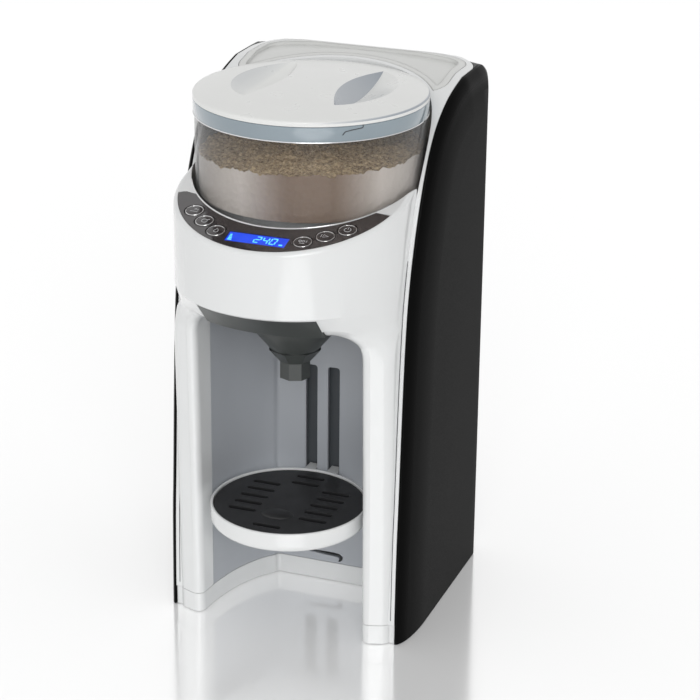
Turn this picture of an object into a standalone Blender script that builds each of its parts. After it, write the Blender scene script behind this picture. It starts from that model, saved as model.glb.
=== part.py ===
"""Formula dispenser: a standing machine that drops milk powder and warm water through a funnel into a bottle.

The frame stands on Z = 0, faces -Y and has +X on its right. Every length below is in millimetres. Places are
measured from the axis of the powder hopper, which the empty "formula_dispenser" puts a little in front of the
middle of the footprint, so that the origin is at the centre of the bounding box's base.
"""

import math

import bmesh
import bpy
from mathutils import Matrix, Vector

MM = 0.001
GAP = 0.3
WALL = 2.5

# Overall body, seen from the side (Y, Z) and from above (X, Y).
FRONT_Y = -105.0
REAR_Y = 114.0
HALF_WIDTH = 87.0
TOP_Z = 362.5
CORE_HALF_WIDTH = 78.3
CORE_REAR_Y = 108.7
CORE_REAR_RADIUS = 22.0
REAR_RADIUS = 18.0
REAR_HALF_WIDTH = 86.7
REAR_TOP_RADIUS = 14.0
CROWN_RADIUS = 544.0
FRONT_EDGE = [
    (-48.5, -20), (-46.5, 60), (-44, 100), (-37.3, 200), (-29.4, 250),
    (-12.6, 297), (8.2, 330.5), (36, 349), (74, 358.5), (92, 361.6)]
BASE_HEIGHT = 14.0
FRONT_FOOT_Y = -48.0
PANEL_EDGE = 0.3
PANEL_SWEEP = 38.0
PANEL_BOTTOM = 0.6

# The nose is part of an ellipse in plan. Its sections give (Z, half width, length): the columns beside the bay
# are flat in front, and above them the nose swells forward to carry the controls on its sloping top.
NOSE_Y = -28.0
NOSE_SIDE = 75.5
NOSE_CORNER = 5.0
NOSE_HALF_WIDTH = 76.2
NOSE_LENGTH = NOSE_Y - FRONT_Y
NOSE_SECTIONS = [
    (0, 95, 33), (130, 95, 37.5), (200, 95, 40.6), (212, 86, 45), (222, NOSE_HALF_WIDTH, 57),
    (240, NOSE_HALF_WIDTH, NOSE_LENGTH)]
NOSE_REAR = 12.0
DECK_SLOPE = math.atan(0.26)
DECK_FRONT_Z = 281.9

# The bay that the bottle stands in: half widths at each depth, and the height of its ceiling.
BAY_HALF_WIDTH = 56.5
BAY_TOP = 222.0
BAY_CORNER = 18.0
BAY_LIP = 7.5
BAY_DEPTHS = [(-34, 55.2), (-17, 52.0), (-2, 47.2), (12, 40.0), (20, 33.5), (23, 30.0)]
LINER_FRONT_Y = -37.0

# Hopper, lid and the dosing train under them, all on the Z axis.
HOPPER_RADIUS = 74.0
HOPPER_FLOOR = 283.0
HOPPER_TOP = 346.0
HOPPER_WALL = 2.2
RECESS_RADIUS = 76.3
RECESS_FLOOR = 282.0
COLLAR_BOTTOM = 343.5
LID_RADIUS = 75.0
LID_RIM = 356.8
LID_CROWN = 361.5
OUTLET_Y = -27.3
OUTLET_RADIUS = 9.0
GEAR_TEETH = 16
PINION_TEETH = 8
GEAR_MODULE = 1.3

# Funnel drawer.
DRAWER_HALF_WIDTH = 39.4
DRAWER_TOP_Z = 238.5
DRAWER_REAR_Y = 10.0
CONE_RADIUS = 34.0
SPOUT_RADIUS = 10.1
CONE_BOTTOM = 184.0
SPOUT_BOTTOM = 172.5

# Bottle tray.
TRAY_Y = -37.2
TRAY_RADIUS = 52.0
TRAY_TOP = 87.4
TRAY_HEIGHT = 13.8
TRAY_TRACK_X = 8.0
LOW_SLOT = [
    (-14.5, 21.4), (-5, 21.9), (3, 22.1), (9.4, 22.0), (13, 21.6), (15.4, 19.9), (15.3, 17.6), (13.6, 15.7),
    (12.0, 15.7),
    (12.8, 17.2), (12.4, 18.6), (9.4, 19.2), (3, 19.4), (-5, 20.0), (-14.5, 20.4)]

# Water tank and its lid at the back.
TANK_HALF_WIDTH = 58.0
TANK_FRONT_Y = 81.5
TANK_REAR_Y = 103.5
TANK_BOTTOM = 60.0
TANK_VALVE_Y = 92.5
TANK_TOP = 338.0
LID_HALF_WIDTH = 72.6
LID_FRONT_Y = 42.0
LID_REAR_Y = 104.6
LID_CORNER = 15.0
DISH_DEPTH = 2.6
INLET_X = -36.0
INLET_Z = 38.0
PUMP = (38, 38)
HEATER = (-40, 39)
TUBE_RADIUS = 2.6

BUTTON_RADIUS = 6.4
BUTTON_PLACES = {
    "strength": (-50.9, -68.6), "formula": (-40.0, -78.0), "water": (-28.6, -86.6), "size": (28.6, -86.6),
    "start": (40.0, -78.0), "power": (50.9, -68.6)}
DISPLAY = (39.0, 10.0, 1.4)
DISPLAY_Y = -90.0
FASCIA_THICKNESS = 2.0
FASCIA_TIP_Y = -48.5

COLOURS = {
    "white_gloss": ((0.86, 0.87, 0.86, 1), 0.18, 0.0),
    "light_grey": ((0.62, 0.63, 0.64, 1), 0.35, 0.0),
    "black_satin": ((0.02, 0.02, 0.02, 1), 0.35, 0.0),
    "black_gloss": ((0.015, 0.01, 0.012, 1), 0.08, 0.0),
    "dark_grey": ((0.08, 0.085, 0.08, 1), 0.4, 0.0),
    "clear": ((0.9, 0.92, 0.93, 0.3), 0.05, 0.0),
    "collar_grey": ((0.4, 0.47, 0.52, 0.8), 0.2, 0.0),
    "rubber": ((0.03, 0.03, 0.03, 1), 0.8, 0.0),
    "silicone": ((0.75, 0.75, 0.75, 1), 0.6, 0.0),
    "blue_lcd": ((0.03, 0.12, 0.9, 1), 0.15, 0.0),
    "steel": ((0.6, 0.6, 0.6, 1), 0.3, 1.0),
    "board_green": ((0.02, 0.2, 0.08, 1), 0.5, 0.0),
    "smoke": ((0.3, 0.33, 0.36, 0.4), 0.1, 0.0),
}


def clear_scene():
    for obj in list(bpy.data.objects):
        bpy.data.objects.remove(obj)


def collection(name):
    made = bpy.data.collections.new(name)
    bpy.context.scene.collection.children.link(made)
    return made


def material(name):
    found = bpy.data.materials.get(name)
    if found:
        return found
    colour, roughness, metallic = COLOURS[name]
    made = bpy.data.materials.new(name)
    made.use_nodes = True
    shader = made.node_tree.nodes["Principled BSDF"]
    shader.inputs["Base Color"].default_value = colour
    shader.inputs["Roughness"].default_value = roughness
    shader.inputs["Metallic"].default_value = metallic
    shader.inputs["Alpha"].default_value = colour[3]
    return made


clear_scene()
PARTS = collection("formula_dispenser_parts")
CUTTERS = collection("cutters")
ROOT = bpy.data.objects.new("formula_dispenser", None)
ROOT.location.y = -(FRONT_Y + REAR_Y) / 2 * MM
PARTS.objects.link(ROOT)


def place(name, mesh, finish=None):
    """An object under the root: a part where it has a finish, and otherwise a cutter."""
    obj = bpy.data.objects.new(name, mesh)
    obj.parent = ROOT
    if finish:
        PARTS.objects.link(obj)
        mesh.materials.append(material(finish))
        return obj
    CUTTERS.objects.link(obj)
    obj.hide_render = True
    obj.display_type = "WIRE"
    return obj


def from_bmesh(name, bm, finish=None):
    bmesh.ops.recalc_face_normals(bm, faces=bm.faces)
    mesh = bpy.data.meshes.new(name)
    bm.to_mesh(mesh)
    bm.free()
    return place(name, mesh, finish)


def box(name, low, high, finish=None, tilt=None):
    """A block between two corners; tilt is a matrix in millimetres that then moves it."""
    bm = bmesh.new()
    bmesh.ops.create_cube(bm, size=1.0)
    size = [b - a for a, b in zip(low, high)]
    middle = [(a + b) / 2 for a, b in zip(low, high)]
    matrix = Matrix.Translation(middle) @ Matrix.Diagonal((*size, 1.0))
    matrix = Matrix.Scale(MM, 4) @ (tilt or Matrix.Identity(4)) @ matrix
    bmesh.ops.transform(bm, matrix=matrix, verts=bm.verts)
    return from_bmesh(name, bm, finish)


def cylinder(name, radius, low, high, centre=(0, 0), finish=None, sides=20, top_radius=None, axis="Z",
        tilt=None):
    """A cylinder or cone from low to high along an axis; centre holds the other two coordinates."""
    bm = bmesh.new()
    top_radius = radius if top_radius is None else top_radius
    bmesh.ops.create_cone(bm, cap_ends=True, segments=sides, radius1=radius, radius2=top_radius,
        depth=high - low)
    turn = {"Z": Matrix.Identity(4), "X": Matrix.Rotation(math.pi / 2, 4, "Y"),
        "Y": Matrix.Rotation(-math.pi / 2, 4, "X")}[axis]
    middle = (low + high) / 2
    place_at = {"Z": (*centre, middle), "X": (middle, *centre), "Y": (centre[0], middle, centre[1])}[axis]
    matrix = Matrix.Scale(MM, 4) @ (tilt or Matrix.Identity(4)) @ Matrix.Translation(place_at) @ turn
    bmesh.ops.transform(bm, matrix=matrix, verts=bm.verts)
    return from_bmesh(name, bm, finish)


def slab(name, outline, low, high, axis="Z", finish=None):
    """A flat outline given thickness along an axis; its points are the other two coordinates."""
    data = bpy.data.curves.new(name, "CURVE")
    data.dimensions = "2D"
    data.fill_mode = "BOTH"
    data.extrude = (high - low) / 2 * MM
    spline = data.splines.new("POLY")
    spline.points.add(len(outline) - 1)
    for point, (u, v) in zip(spline.points, outline):
        point.co = (u * MM, v * MM, 0, 1)
    spline.use_cyclic_u = True
    guide = bpy.data.objects.new(name + "_outline", data)
    bpy.context.scene.collection.objects.link(guide)
    evaluated = guide.evaluated_get(bpy.context.evaluated_depsgraph_get())
    mesh = bpy.data.meshes.new_from_object(evaluated)
    bpy.data.objects.remove(guide)
    across = {
        "Z": Matrix.Identity(4),
        "X": Matrix(((0, 0, 1, 0), (1, 0, 0, 0), (0, 1, 0, 0), (0, 0, 0, 1))),
        "Y": Matrix(((1, 0, 0, 0), (0, 0, -1, 0), (0, 1, 0, 0), (0, 0, 0, 1))),
    }[axis]
    shift = Vector({"Z": (0, 0, 1), "X": (1, 0, 0), "Y": (0, 1, 0)}[axis]) * ((low + high) / 2 * MM)
    bm = bmesh.new()
    bm.from_mesh(mesh)
    bpy.data.meshes.remove(mesh)
    bmesh.ops.remove_doubles(bm, verts=bm.verts, dist=1e-6)
    bmesh.ops.transform(bm, matrix=Matrix.Translation(shift) @ across, verts=bm.verts)
    return from_bmesh(name, bm, finish)


def turned(name, profile, centre=(0, 0), finish=None, steps=24):
    """A profile of (radius, Z) points turned about a vertical axis; it closes unless both ends are on the axis."""
    mesh = bpy.data.meshes.new(name)
    solid_core = profile[0][0] == 0 and profile[-1][0] == 0
    edges = [(i, i + 1) for i in range(len(profile) - 1)]
    if not solid_core:
        edges.append((len(profile) - 1, 0))
    mesh.from_pydata([(r * MM, 0, z * MM) for r, z in profile], edges, [])
    obj = place(name, mesh, finish)
    obj.location = (centre[0] * MM, centre[1] * MM, 0)
    screw = obj.modifiers.new("turn", "SCREW")
    screw.steps = steps
    screw.render_steps = steps
    screw.use_merge_vertices = True
    screw.merge_threshold = 1e-5
    return obj


def loft(name, rings, finish=None):
    """A closed solid through rings that have the same number of points, with flat first and last rings."""
    bm = bmesh.new()
    made = [[bm.verts.new(Vector(p) * MM) for p in ring] for ring in rings]
    for near, far in zip(made, made[1:]):
        for i in range(len(near)):
            j = (i + 1) % len(near)
            bm.faces.new((near[i], near[j], far[j]))
            bm.faces.new((near[i], far[j], far[i]))
    bm.faces.new(made[0])
    bm.faces.new(made[-1])
    return from_bmesh(name, bm, finish)


def tube(name, points, radius, finish, sides=1):
    """A bent tube along a smooth path, as a closed mesh."""
    data = bpy.data.curves.new(name, "CURVE")
    data.dimensions = "3D"
    data.bevel_depth = radius * MM
    data.bevel_resolution = sides
    data.use_fill_caps = True
    spline = data.splines.new("POLY")
    path = smooth_path(points, 3)
    spline.points.add(len(path) - 1)
    for point, at in zip(spline.points, path):
        point.co = (*(c * MM for c in at), 1)
    guide = bpy.data.objects.new(name + "_path", data)
    bpy.context.scene.collection.objects.link(guide)
    mesh = bpy.data.meshes.new_from_object(guide.evaluated_get(bpy.context.evaluated_depsgraph_get()))
    bpy.data.objects.remove(guide)
    bm = bmesh.new()
    bm.from_mesh(mesh)
    bpy.data.meshes.remove(mesh)
    bmesh.ops.remove_doubles(bm, verts=bm.verts, dist=1e-6)
    return from_bmesh(name, bm, finish)


def boolean(obj, other, operation):
    modifier = obj.modifiers.new(operation.lower() + "_" + other.name, "BOOLEAN")
    modifier.operation = operation
    modifier.object = other
    return obj


def cut(obj, *others):
    for other in others:
        boolean(obj, other, "DIFFERENCE")
    return obj


def join(obj, *others):
    for other in others:
        boolean(obj, other, "UNION")
    return obj


def tidy(obj):
    """Closes the hairline slivers that a long run of cuts leaves."""
    weld = obj.modifiers.new("weld", "WELD")
    weld.merge_threshold = 2e-5


def keep_inside(obj, *others):
    for other in others:
        boolean(obj, other, "INTERSECT")
    return obj


def smooth_path(points, count):
    """A Catmull-Rom curve through the points, with count samples for each span."""
    ends = [points[0], *points, points[-1]]
    path = []
    for a, b, c, d in zip(ends, ends[1:], ends[2:], ends[3:]):
        for step in range(count):
            t = step / count
            path.append(tuple(
                q + (r - p) * t / 2 + (2 * p - 5 * q + 4 * r - s) * t**2 / 2 + (3 * q - p - 3 * r + s) * t**3 / 2
                for p, q, r, s in zip(a, b, c, d)))
    return [*path, tuple(points[-1])]


def arc(centre, radius, start, end, count):
    angles = [math.radians(start + (end - start) * i / count) for i in range(count + 1)]
    return [(centre[0] + radius * math.cos(a), centre[1] + radius * math.sin(a)) for a in angles]


def rounded_back(half_width, front_y, rear_y, radius):
    """A plan outline with square front corners and round rear ones."""
    x = half_width - radius
    y = rear_y - radius
    return [(-half_width, front_y), (half_width, front_y), *arc((x, y), radius, 0, 90, 5),
        *arc((-x, y), radius, 90, 180, 5)]


def rounded_rectangle(x0, y0, x1, y1, radius, count=4):
    corners = [(x1 - radius, y1 - radius, 0), (x0 + radius, y1 - radius, 90),
        (x0 + radius, y0 + radius, 180), (x1 - radius, y0 + radius, 270)]
    return [p for x, y, start in corners for p in arc((x, y), radius, start, start + 90, count)]


def nose_plan(inset=0.0):
    """The outline of the nose at the control deck, closed by straight sides behind it."""
    return [(x, y) for x, y, z in nose_ring(DECK_FRONT_Z, inset)]


def nose_surface(x, z, inset=0.0):
    """How far forward the nose reaches at x and z, once it is inset."""
    z = min(max(z, NOSE_SECTIONS[0][0]), NOSE_SECTIONS[-1][0])
    for (z0, a0, b0), (z1, a1, b1) in zip(NOSE_SECTIONS, NOSE_SECTIONS[1:]):
        if z <= z1:
            share = (z - z0) / (z1 - z0)
            half_width = a0 + share * (a1 - a0) - inset
            length = b0 + share * (b1 - b0) - inset
            return NOSE_Y - length * math.sqrt(max(0.0, 1 - (x / half_width) ** 2))


def nose_ring(z, inset):
    """One level of the nose: the curved front, a rounded corner each side, and straight sides behind."""
    corner = max(NOSE_CORNER - inset, 2.0)
    flat = NOSE_SIDE - inset - corner
    front = [(flat * math.cos(t), 0.0) for t in (math.radians(180 + 180 * i / 24) for i in range(25))]
    turns = [math.radians(45), math.radians(90)]
    right = [(flat + corner * math.sin(t), corner - corner * math.cos(t)) for t in turns]
    outline = [*[(-x, back) for x, back in reversed(right)], *front, *right]
    points = [(x, nose_surface(x, z, inset) + back, z) for x, back in outline]
    return [*points, (NOSE_SIDE - inset, NOSE_REAR, z), (inset - NOSE_SIDE, NOSE_REAR, z)]


def nose_block(name, low, high, inset=0.0):
    between = [z for z, _, _ in NOSE_SECTIONS if low < z < high]
    return loft(name, [nose_ring(z, inset) for z in (low, *between, high)])


def envelope(name, inset=0.0):
    """The body seen from the side, extruded across and cut to the crown of its top."""
    edge = [(y + inset, z - inset * 0.6) for y, z in smooth_path(FRONT_EDGE, 2)]
    centre = (REAR_Y - REAR_TOP_RADIUS - inset, TOP_Z - 1 - REAR_TOP_RADIUS - inset)
    rear = arc(centre, REAR_TOP_RADIUS, 80, 0, 4)
    side = slab(name, [*edge, *rear, (REAR_Y - inset, -20)], -HALF_WIDTH - 5, HALF_WIDTH + 5, axis="X")
    sweep = math.degrees(math.asin(100 / CROWN_RADIUS))
    crown = arc((0, TOP_Z - inset - CROWN_RADIUS), CROWN_RADIUS, 90 - sweep, 90 + sweep, 10)
    roof = slab(name + "_crown", [*crown, (-100, -30), (100, -30)], FRONT_Y - 20, REAR_Y + 20, axis="Y")
    return keep_inside(side, roof)


def deck_frame(depth=0.0):
    """The tilted frame of the control deck: its origin is under the front edge of the deck, at the depth."""
    lift = Matrix.Translation((0, 0, -depth))
    return Matrix.Translation((0, FRONT_Y, DECK_FRONT_Z)) @ Matrix.Rotation(DECK_SLOPE, 4, "X") @ lift


def deck_y(plan_y):
    """The distance up the slope from the deck's front edge to a plan position."""
    return (plan_y - FRONT_Y) / math.cos(DECK_SLOPE)


def bay_rings(grow=0.0):
    """Rings around the bay, from in front of the nose to the back wall, with a rounded lip at the nose."""
    lip = BAY_LIP - grow
    half = BAY_HALF_WIDTH + grow
    top = BAY_TOP + grow
    turns = [math.radians(22.5 * i) for i in range(5)]
    shoulder = BAY_TOP - BAY_CORNER

    def ring(x_side, z_top, depth_at):
        flat = BAY_HALF_WIDTH - BAY_CORNER + x_side - half
        right = [(x_side, z) for z in (-10.0, 130.0)]
        right += [(flat + BAY_CORNER * math.cos(a) + grow * math.cos(a),
            shoulder + (z_top - shoulder) * math.sin(a)) for a in turns]
        return [(x, depth_at(x, z), z) for x, z in right] + [(-x, depth_at(x, z), z) for x,
            z in reversed(right)]

    rings = [ring(half + 0.74 * lip, top + 0.74 * lip, lambda x, z: FRONT_Y - 25)]
    for angle in (75, 50, 25, 0):
        wide = lip * (1 - math.cos(math.radians(angle)))
        back = lip * (1 - math.sin(math.radians(angle)))
        rings.append(ring(half + wide, top + wide, lambda x, z, back=back: nose_surface(x, z) + back))
    for y, width in BAY_DEPTHS:
        depth = y + grow if y == BAY_DEPTHS[-1][0] else y
        rings.append(ring(width + grow, top, lambda x, z, depth=depth: depth))
    return rings


def gear_outline(teeth, module, spin=0.0):
    """A spur gear outline with trapezoid teeth, slim enough to leave running clearance."""
    radius = teeth * module / 2
    pitch = 360 / teeth
    points = []
    for i in range(teeth):
        for share, r in ((-0.30, radius - 1.15 * module), (-0.13, radius + 0.9 * module),
                (0.13, radius + 0.9 * module), (0.30, radius - 1.15 * module)):
            a = math.radians(spin + (i + share) * pitch)
            points.append((r * math.cos(a), r * math.sin(a)))
    return points


# --- Casing ---


def make_front_shell():
    """The white moulding: columns, nose, control deck, hopper recess and rear deck in one hollow piece."""
    shell = slab("front_shell", rounded_back(CORE_HALF_WIDTH, -60, CORE_REAR_Y, CORE_REAR_RADIUS),
        BASE_HEIGHT + GAP, 380, finish="white_gloss")
    nose = nose_block("nose", BASE_HEIGHT + GAP, 330)
    nose_in = nose_block("nose_hollow", -10, 330, WALL)
    for depth, block in ((0.0, nose), (5.0, nose_in)):
        above = box(block.name + "_top", (-120, -30, 0), (120, 260, 150), tilt=deck_frame(depth))
        cut(block, above)
    hollow = slab("core_hollow", rounded_back(CORE_HALF_WIDTH - WALL, -60, 140, 5), -10, 380)
    keep_inside(hollow, ENVELOPE_IN)
    recess_wall = cylinder("recess_wall", RECESS_RADIUS + WALL, RECESS_FLOOR - WALL, 420, sides=36)
    join(hollow, nose_in)
    cut(hollow, recess_wall, loft("bay_wall", bay_rings(WALL)))
    keep_inside(shell, ENVELOPE)
    join(shell, nose)
    recess = cylinder("recess", RECESS_RADIUS, RECESS_FLOOR, 430, sides=36)
    cut(shell, hollow, loft("bay", bay_rings()), recess)
    liner_room = loft("liner_room", bay_rings(WALL + GAP))
    keep_inside(liner_room, box("behind_lip", (-90, LINER_FRONT_Y - GAP, -50), (90, 60, 300)))
    cut(shell, liner_room)
    cut(shell, cylinder("drive_hole", 8.0, 270, 290, sides=16),
        cylinder("outlet_hole", OUTLET_RADIUS, 270, 290, (0, OUTLET_Y), sides=16))
    cut(shell, DRAWER_ROOM, DRAWER_NOTCH)
    opening = rounded_rectangle(-LID_HALF_WIDTH - GAP, LID_FRONT_Y - GAP, LID_HALF_WIDTH + GAP,
        LID_REAR_Y + GAP, LID_CORNER)
    tank_opening = slab("tank_opening", opening, 300, 400)
    cut(shell, cut(tank_opening, cylinder("opening_front", RECESS_RADIUS + WALL + 0.6, 290, 410, sides=36)))
    pocket = fascia_block("fascia_pocket", FASCIA_THICKNESS + GAP, GAP)
    cut(shell, pocket, fascia_window("display_room", 1.2, 12), *button_holes(7.2, "shell_hole"))
    tidy(shell)


def make_drawer_cutters():
    half = DRAWER_HALF_WIDTH + 0.4
    room = box("drawer_room", (-half, FRONT_Y - 20, BAY_TOP - 8),
        (half, DRAWER_REAR_Y + 0.5, BAY_TOP + 4.4))
    return room, box("drawer_notch", (-half, FRONT_Y - 12, BAY_TOP - 6), (half, -60, DRAWER_TOP_Z + GAP))


def fascia_block(name, thickness, grow, finish=None):
    """The crescent between the nose's edge and the hopper recess, square at both tips and tilted with the deck."""
    crescent = slab(name, nose_plan(2.6 - grow), 200, 360, finish=finish)
    inner = cylinder(name + "_inner", RECESS_RADIUS + 0.7 - grow, 180, 380, sides=36)
    keep_inside(crescent, box(name + "_reach", (-120, -200, 190), (120, FASCIA_TIP_Y + grow, 370)))
    sheet = box(name + "_sheet", (-120, -30, 0), (120, 260, thickness + (60 if not finish else 0)),
        tilt=deck_frame(thickness))
    return keep_inside(cut(crescent, inner), sheet)


def fascia_window(name, grow, depth):
    width, height, _ = DISPLAY
    middle = deck_y(DISPLAY_Y)
    low = (-width / 2 - grow, middle - height / 2 - grow, -depth)
    high = (width / 2 + grow, middle + height / 2 + grow, 4)
    return box(name, low, high, tilt=deck_frame())


def button_holes(radius, name):
    return [
        cylinder(f"{name}_{button}", radius, -9, 6, (x, deck_y(y)), sides=16, tilt=deck_frame())
        for button, (x, y) in BUTTON_PLACES.items()]


def make_controls():
    fascia = fascia_block("control_fascia", FASCIA_THICKNESS, 0.0, "black_gloss")
    cut(fascia, fascia_window("display_window", 0.3, 6), *button_holes(BUTTON_RADIUS + GAP, "fascia_hole"))
    width, height, thickness = DISPLAY
    middle = deck_y(DISPLAY_Y)
    box("lcd_display", (-width / 2, middle - height / 2, -thickness - 0.3),
        (width / 2, middle + height / 2, -0.3), "blue_lcd", deck_frame())
    for name, (x, y) in BUTTON_PLACES.items():
        cap = cylinder(name + "_button", BUTTON_RADIUS, -2.2, 0, (x, deck_y(y)), "black_gloss", 16,
            tilt=deck_frame())
        join(cap, cylinder(name + "_stem", 2.0, -6.5, -2.0, (x, deck_y(y)), sides=6, tilt=deck_frame()))
    board = slab("control_board", nose_plan(8), 200, 330, finish="board_green")
    keep_inside(board, box("board_reach", (-120, -200, 190), (120, FASCIA_TIP_Y - 2, 370)))
    cut(board, cylinder("board_inner", RECESS_RADIUS + WALL + 1.0, 180, 380, sides=36))
    keep_inside(board, box("board_sheet", (-120, -30, -9.4), (120, 260, -7.8), tilt=deck_frame()))


def panel_ring(x, inset):
    """The outline of a side panel at x, with its front and top edges moved in by the inset."""
    top = TOP_Z - CORE_HALF_WIDTH**2 / (2 * CROWN_RADIUS)
    edge = [Vector((y, min(z, top))) for y, z in smooth_path(FRONT_EDGE, 2)]
    outline = [(FRONT_FOOT_Y + inset, PANEL_BOTTOM)]
    for before, at, after in zip(edge, edge[1:], edge[2:]):
        along = (after - before).normalized()
        if at.y > 20:
            outline.append((at.x + inset * along.y, at.y - inset * along.x))
    outline += arc((REAR_Y - REAR_TOP_RADIUS, top - REAR_TOP_RADIUS - inset), REAR_TOP_RADIUS, 80, 0, 4)
    return [(x, y, z) for y, z in [*outline, (REAR_Y, PANEL_BOTTOM)]]


def make_side_panel(name, side):
    """A black side panel: it curves in to a thin edge at its front and top, and it is thinned from behind."""
    x0 = CORE_HALF_WIDTH + GAP
    start = x0 + PANEL_EDGE
    rings = [panel_ring(side * x0, 0.0)]
    for angle in (math.radians(a) for a in (0, 22.5, 45, 67.5, 90)):
        inset = PANEL_SWEEP * (1 - math.cos(angle))
        rings.append(panel_ring(side * (start + (HALF_WIDTH - start) * math.sin(angle)), inset))
    panel = loft(name, rings, "black_satin")
    keep_inside(panel, CROWN, PLAN)
    pocket = [(y + 11, z - 9) for y, z in FRONT_EDGE[1:-1]] + [(84, TOP_Z - 17), (84, 12), (-36, 12)]
    cut(panel, slab(name + "_pocket", pocket, *sorted((side * (x0 - 1), side * (HALF_WIDTH - 5.5))),
        axis="X"))


def outer_plan():
    """The plan of the whole casing, a little narrower at the rear, with rounded rear corners."""
    x, y = REAR_HALF_WIDTH - REAR_RADIUS, REAR_Y - REAR_RADIUS
    right = [(HALF_WIDTH, -70), (HALF_WIDTH, -10), *arc((x, y), REAR_RADIUS, 0, 90, 6)]
    return [*right, *[(-u, v) for u, v in reversed(right)]]


def make_rear_cover():
    """The black back: it carries on the curve of the side panels, and has an opening for the mains inlet."""
    low, high = (-CORE_HALF_WIDTH, 60, BASE_HEIGHT + GAP), (CORE_HALF_WIDTH, REAR_Y + 5, 380)
    cover = box("rear_cover", low, high, "black_satin")
    core = rounded_back(CORE_HALF_WIDTH + GAP, -60, CORE_REAR_Y + GAP, CORE_REAR_RADIUS)
    keep_inside(cover, ENVELOPE, PLAN)
    cut(cover, slab("core_plan", core, -10, 400))
    cut(cover, box("inlet_opening", (INLET_X - 14.3, 100, INLET_Z - 10.3),
        (INLET_X + 14.3, 130, INLET_Z + 10.3)))
    for i in range(6):
        cut(cover, box(f"vent_{i}", (-30, 100, 62 + 6 * i), (30, 130, 65 + 6 * i)))


def make_bay_liner():
    """The grey walls and ceiling of the bottle bay, with two tracks for the tray's hooks."""
    made = box("bay_liner", (-90, LINER_FRONT_Y, BASE_HEIGHT + GAP), (90, 60, 300), "light_grey")
    keep_inside(made, loft("liner_block", bay_rings(WALL)))
    cut(made, loft("bay_inside", bay_rings()), DRAWER_ROOM)
    for side in (-1, 1):
        x = side * TRAY_TRACK_X
        cut(made, box(f"track_{side}", (x - 4.2, 10, 26), (x + 4.2, 40, 160)))
    cut(made, slab("low_slot", LOW_SLOT, 15, 40, axis="Y"))


def make_base():
    """The white base ring, with the rubber feet and the screws under it."""
    rear = (CORE_HALF_WIDTH, REAR_Y - 1, BASE_HEIGHT)
    block = box("base_ring", (-CORE_HALF_WIDTH, -46.5, 0.6), rear, "white_gloss")
    keep_inside(block, PLAN)
    join(block, nose_block("base_nose", 0.6, BASE_HEIGHT))
    cut(block, loft("base_bay", bay_rings()))
    hollow = slab("base_hollow", rounded_back(CORE_HALF_WIDTH - WALL, -30, REAR_Y - 4, REAR_RADIUS - 4),
        5.5, 30)
    cut(hollow, loft("base_bay_wall", bay_rings(WALL)))
    cut(block, hollow)
    for i, (x, y) in enumerate(FOOT_PLACES):
        cut(block, cylinder(f"foot_pocket_{i}", 5.3, -5, 2.6, (x, y), sides=16))
        cylinder(f"rubber_foot_{i + 1}", 5.0, 0, 2.3, (x, y), "rubber", 16)
    for i, (x, y) in enumerate(SCREW_PLACES):
        cut(block, cylinder(f"screw_hole_{i}", 1.8, -5, 20, (x, y), sides=8),
            cylinder(f"screw_sink_{i}", 3.4, -5, 3.2, (x, y), sides=12))
        screw = cylinder(f"base_screw_{i + 1}", 3.0, 1.2, 2.9, (x, y), "steel", 12)
        join(screw, cylinder(f"screw_shank_{i}", 1.4, 2.5, 12.0, (x, y), sides=8))
    tidy(block)


FOOT_PLACES = [(-66, -38), (66, -38), (-62, 96), (62, 96)]
SCREW_PLACES = [(-68, 20), (68, 20), (-40, 100), (40, 100)]


# --- Hopper and dosing train ---


def make_hopper():
    r = HOPPER_RADIUS
    w = HOPPER_WALL
    hopper = turned("hopper_container", [
        (r, HOPPER_TOP), (r, HOPPER_FLOOR + 3), (r - 3, HOPPER_FLOOR), (9.5, HOPPER_FLOOR),
        (9.5, HOPPER_FLOOR + w),
        (r - 3.4, HOPPER_FLOOR + w), (r - w, HOPPER_FLOOR + 4.4), (r - w, HOPPER_TOP)], finish="clear",
        steps=32)
    cut(hopper, cylinder("hopper_outlet", OUTLET_RADIUS, 270, 290, (0, OUTLET_Y), sides=16))
    turned("hopper_collar", [
        (r + 0.9, LID_RIM - 3.2), (r + 0.9, COLLAR_BOTTOM), (r + GAP, COLLAR_BOTTOM),
        (r + GAP, HOPPER_TOP + GAP),
        (r - w, HOPPER_TOP + GAP), (r - w, LID_RIM - 3.2)], finish="collar_grey", steps=32)
    seal_top = LID_RIM - 3.5
    turned("lid_seal", [
        (r - w - GAP, seal_top), (r - w - GAP, seal_top - 5), (r - w - 2.6, seal_top - 5),
        (r - w - 2.6, seal_top)],
        finish="silicone", steps=32)
    lid = turned("lid_cap", [
        (0, LID_CROWN), (30, LID_CROWN - 0.6), (55, LID_CROWN - 2.0), (LID_RADIUS - 2, LID_RIM),
        (LID_RADIUS, LID_RIM - 1.2),
        (LID_RADIUS, LID_RIM - 2.9), (r - w - 3.0, LID_RIM - 2.9), (r - w - 3.0, seal_top - 7),
        (r - w - 5.0, seal_top - 7),
        (r - w - 5.0, LID_RIM - 4.5), (34, LID_RIM - 16), (0, LID_RIM - 16)], finish="white_gloss",
        steps=32)
    for side in (-1, 1):
        cut(lid, finger_scoop(f"scoop_{side}", side))


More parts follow.
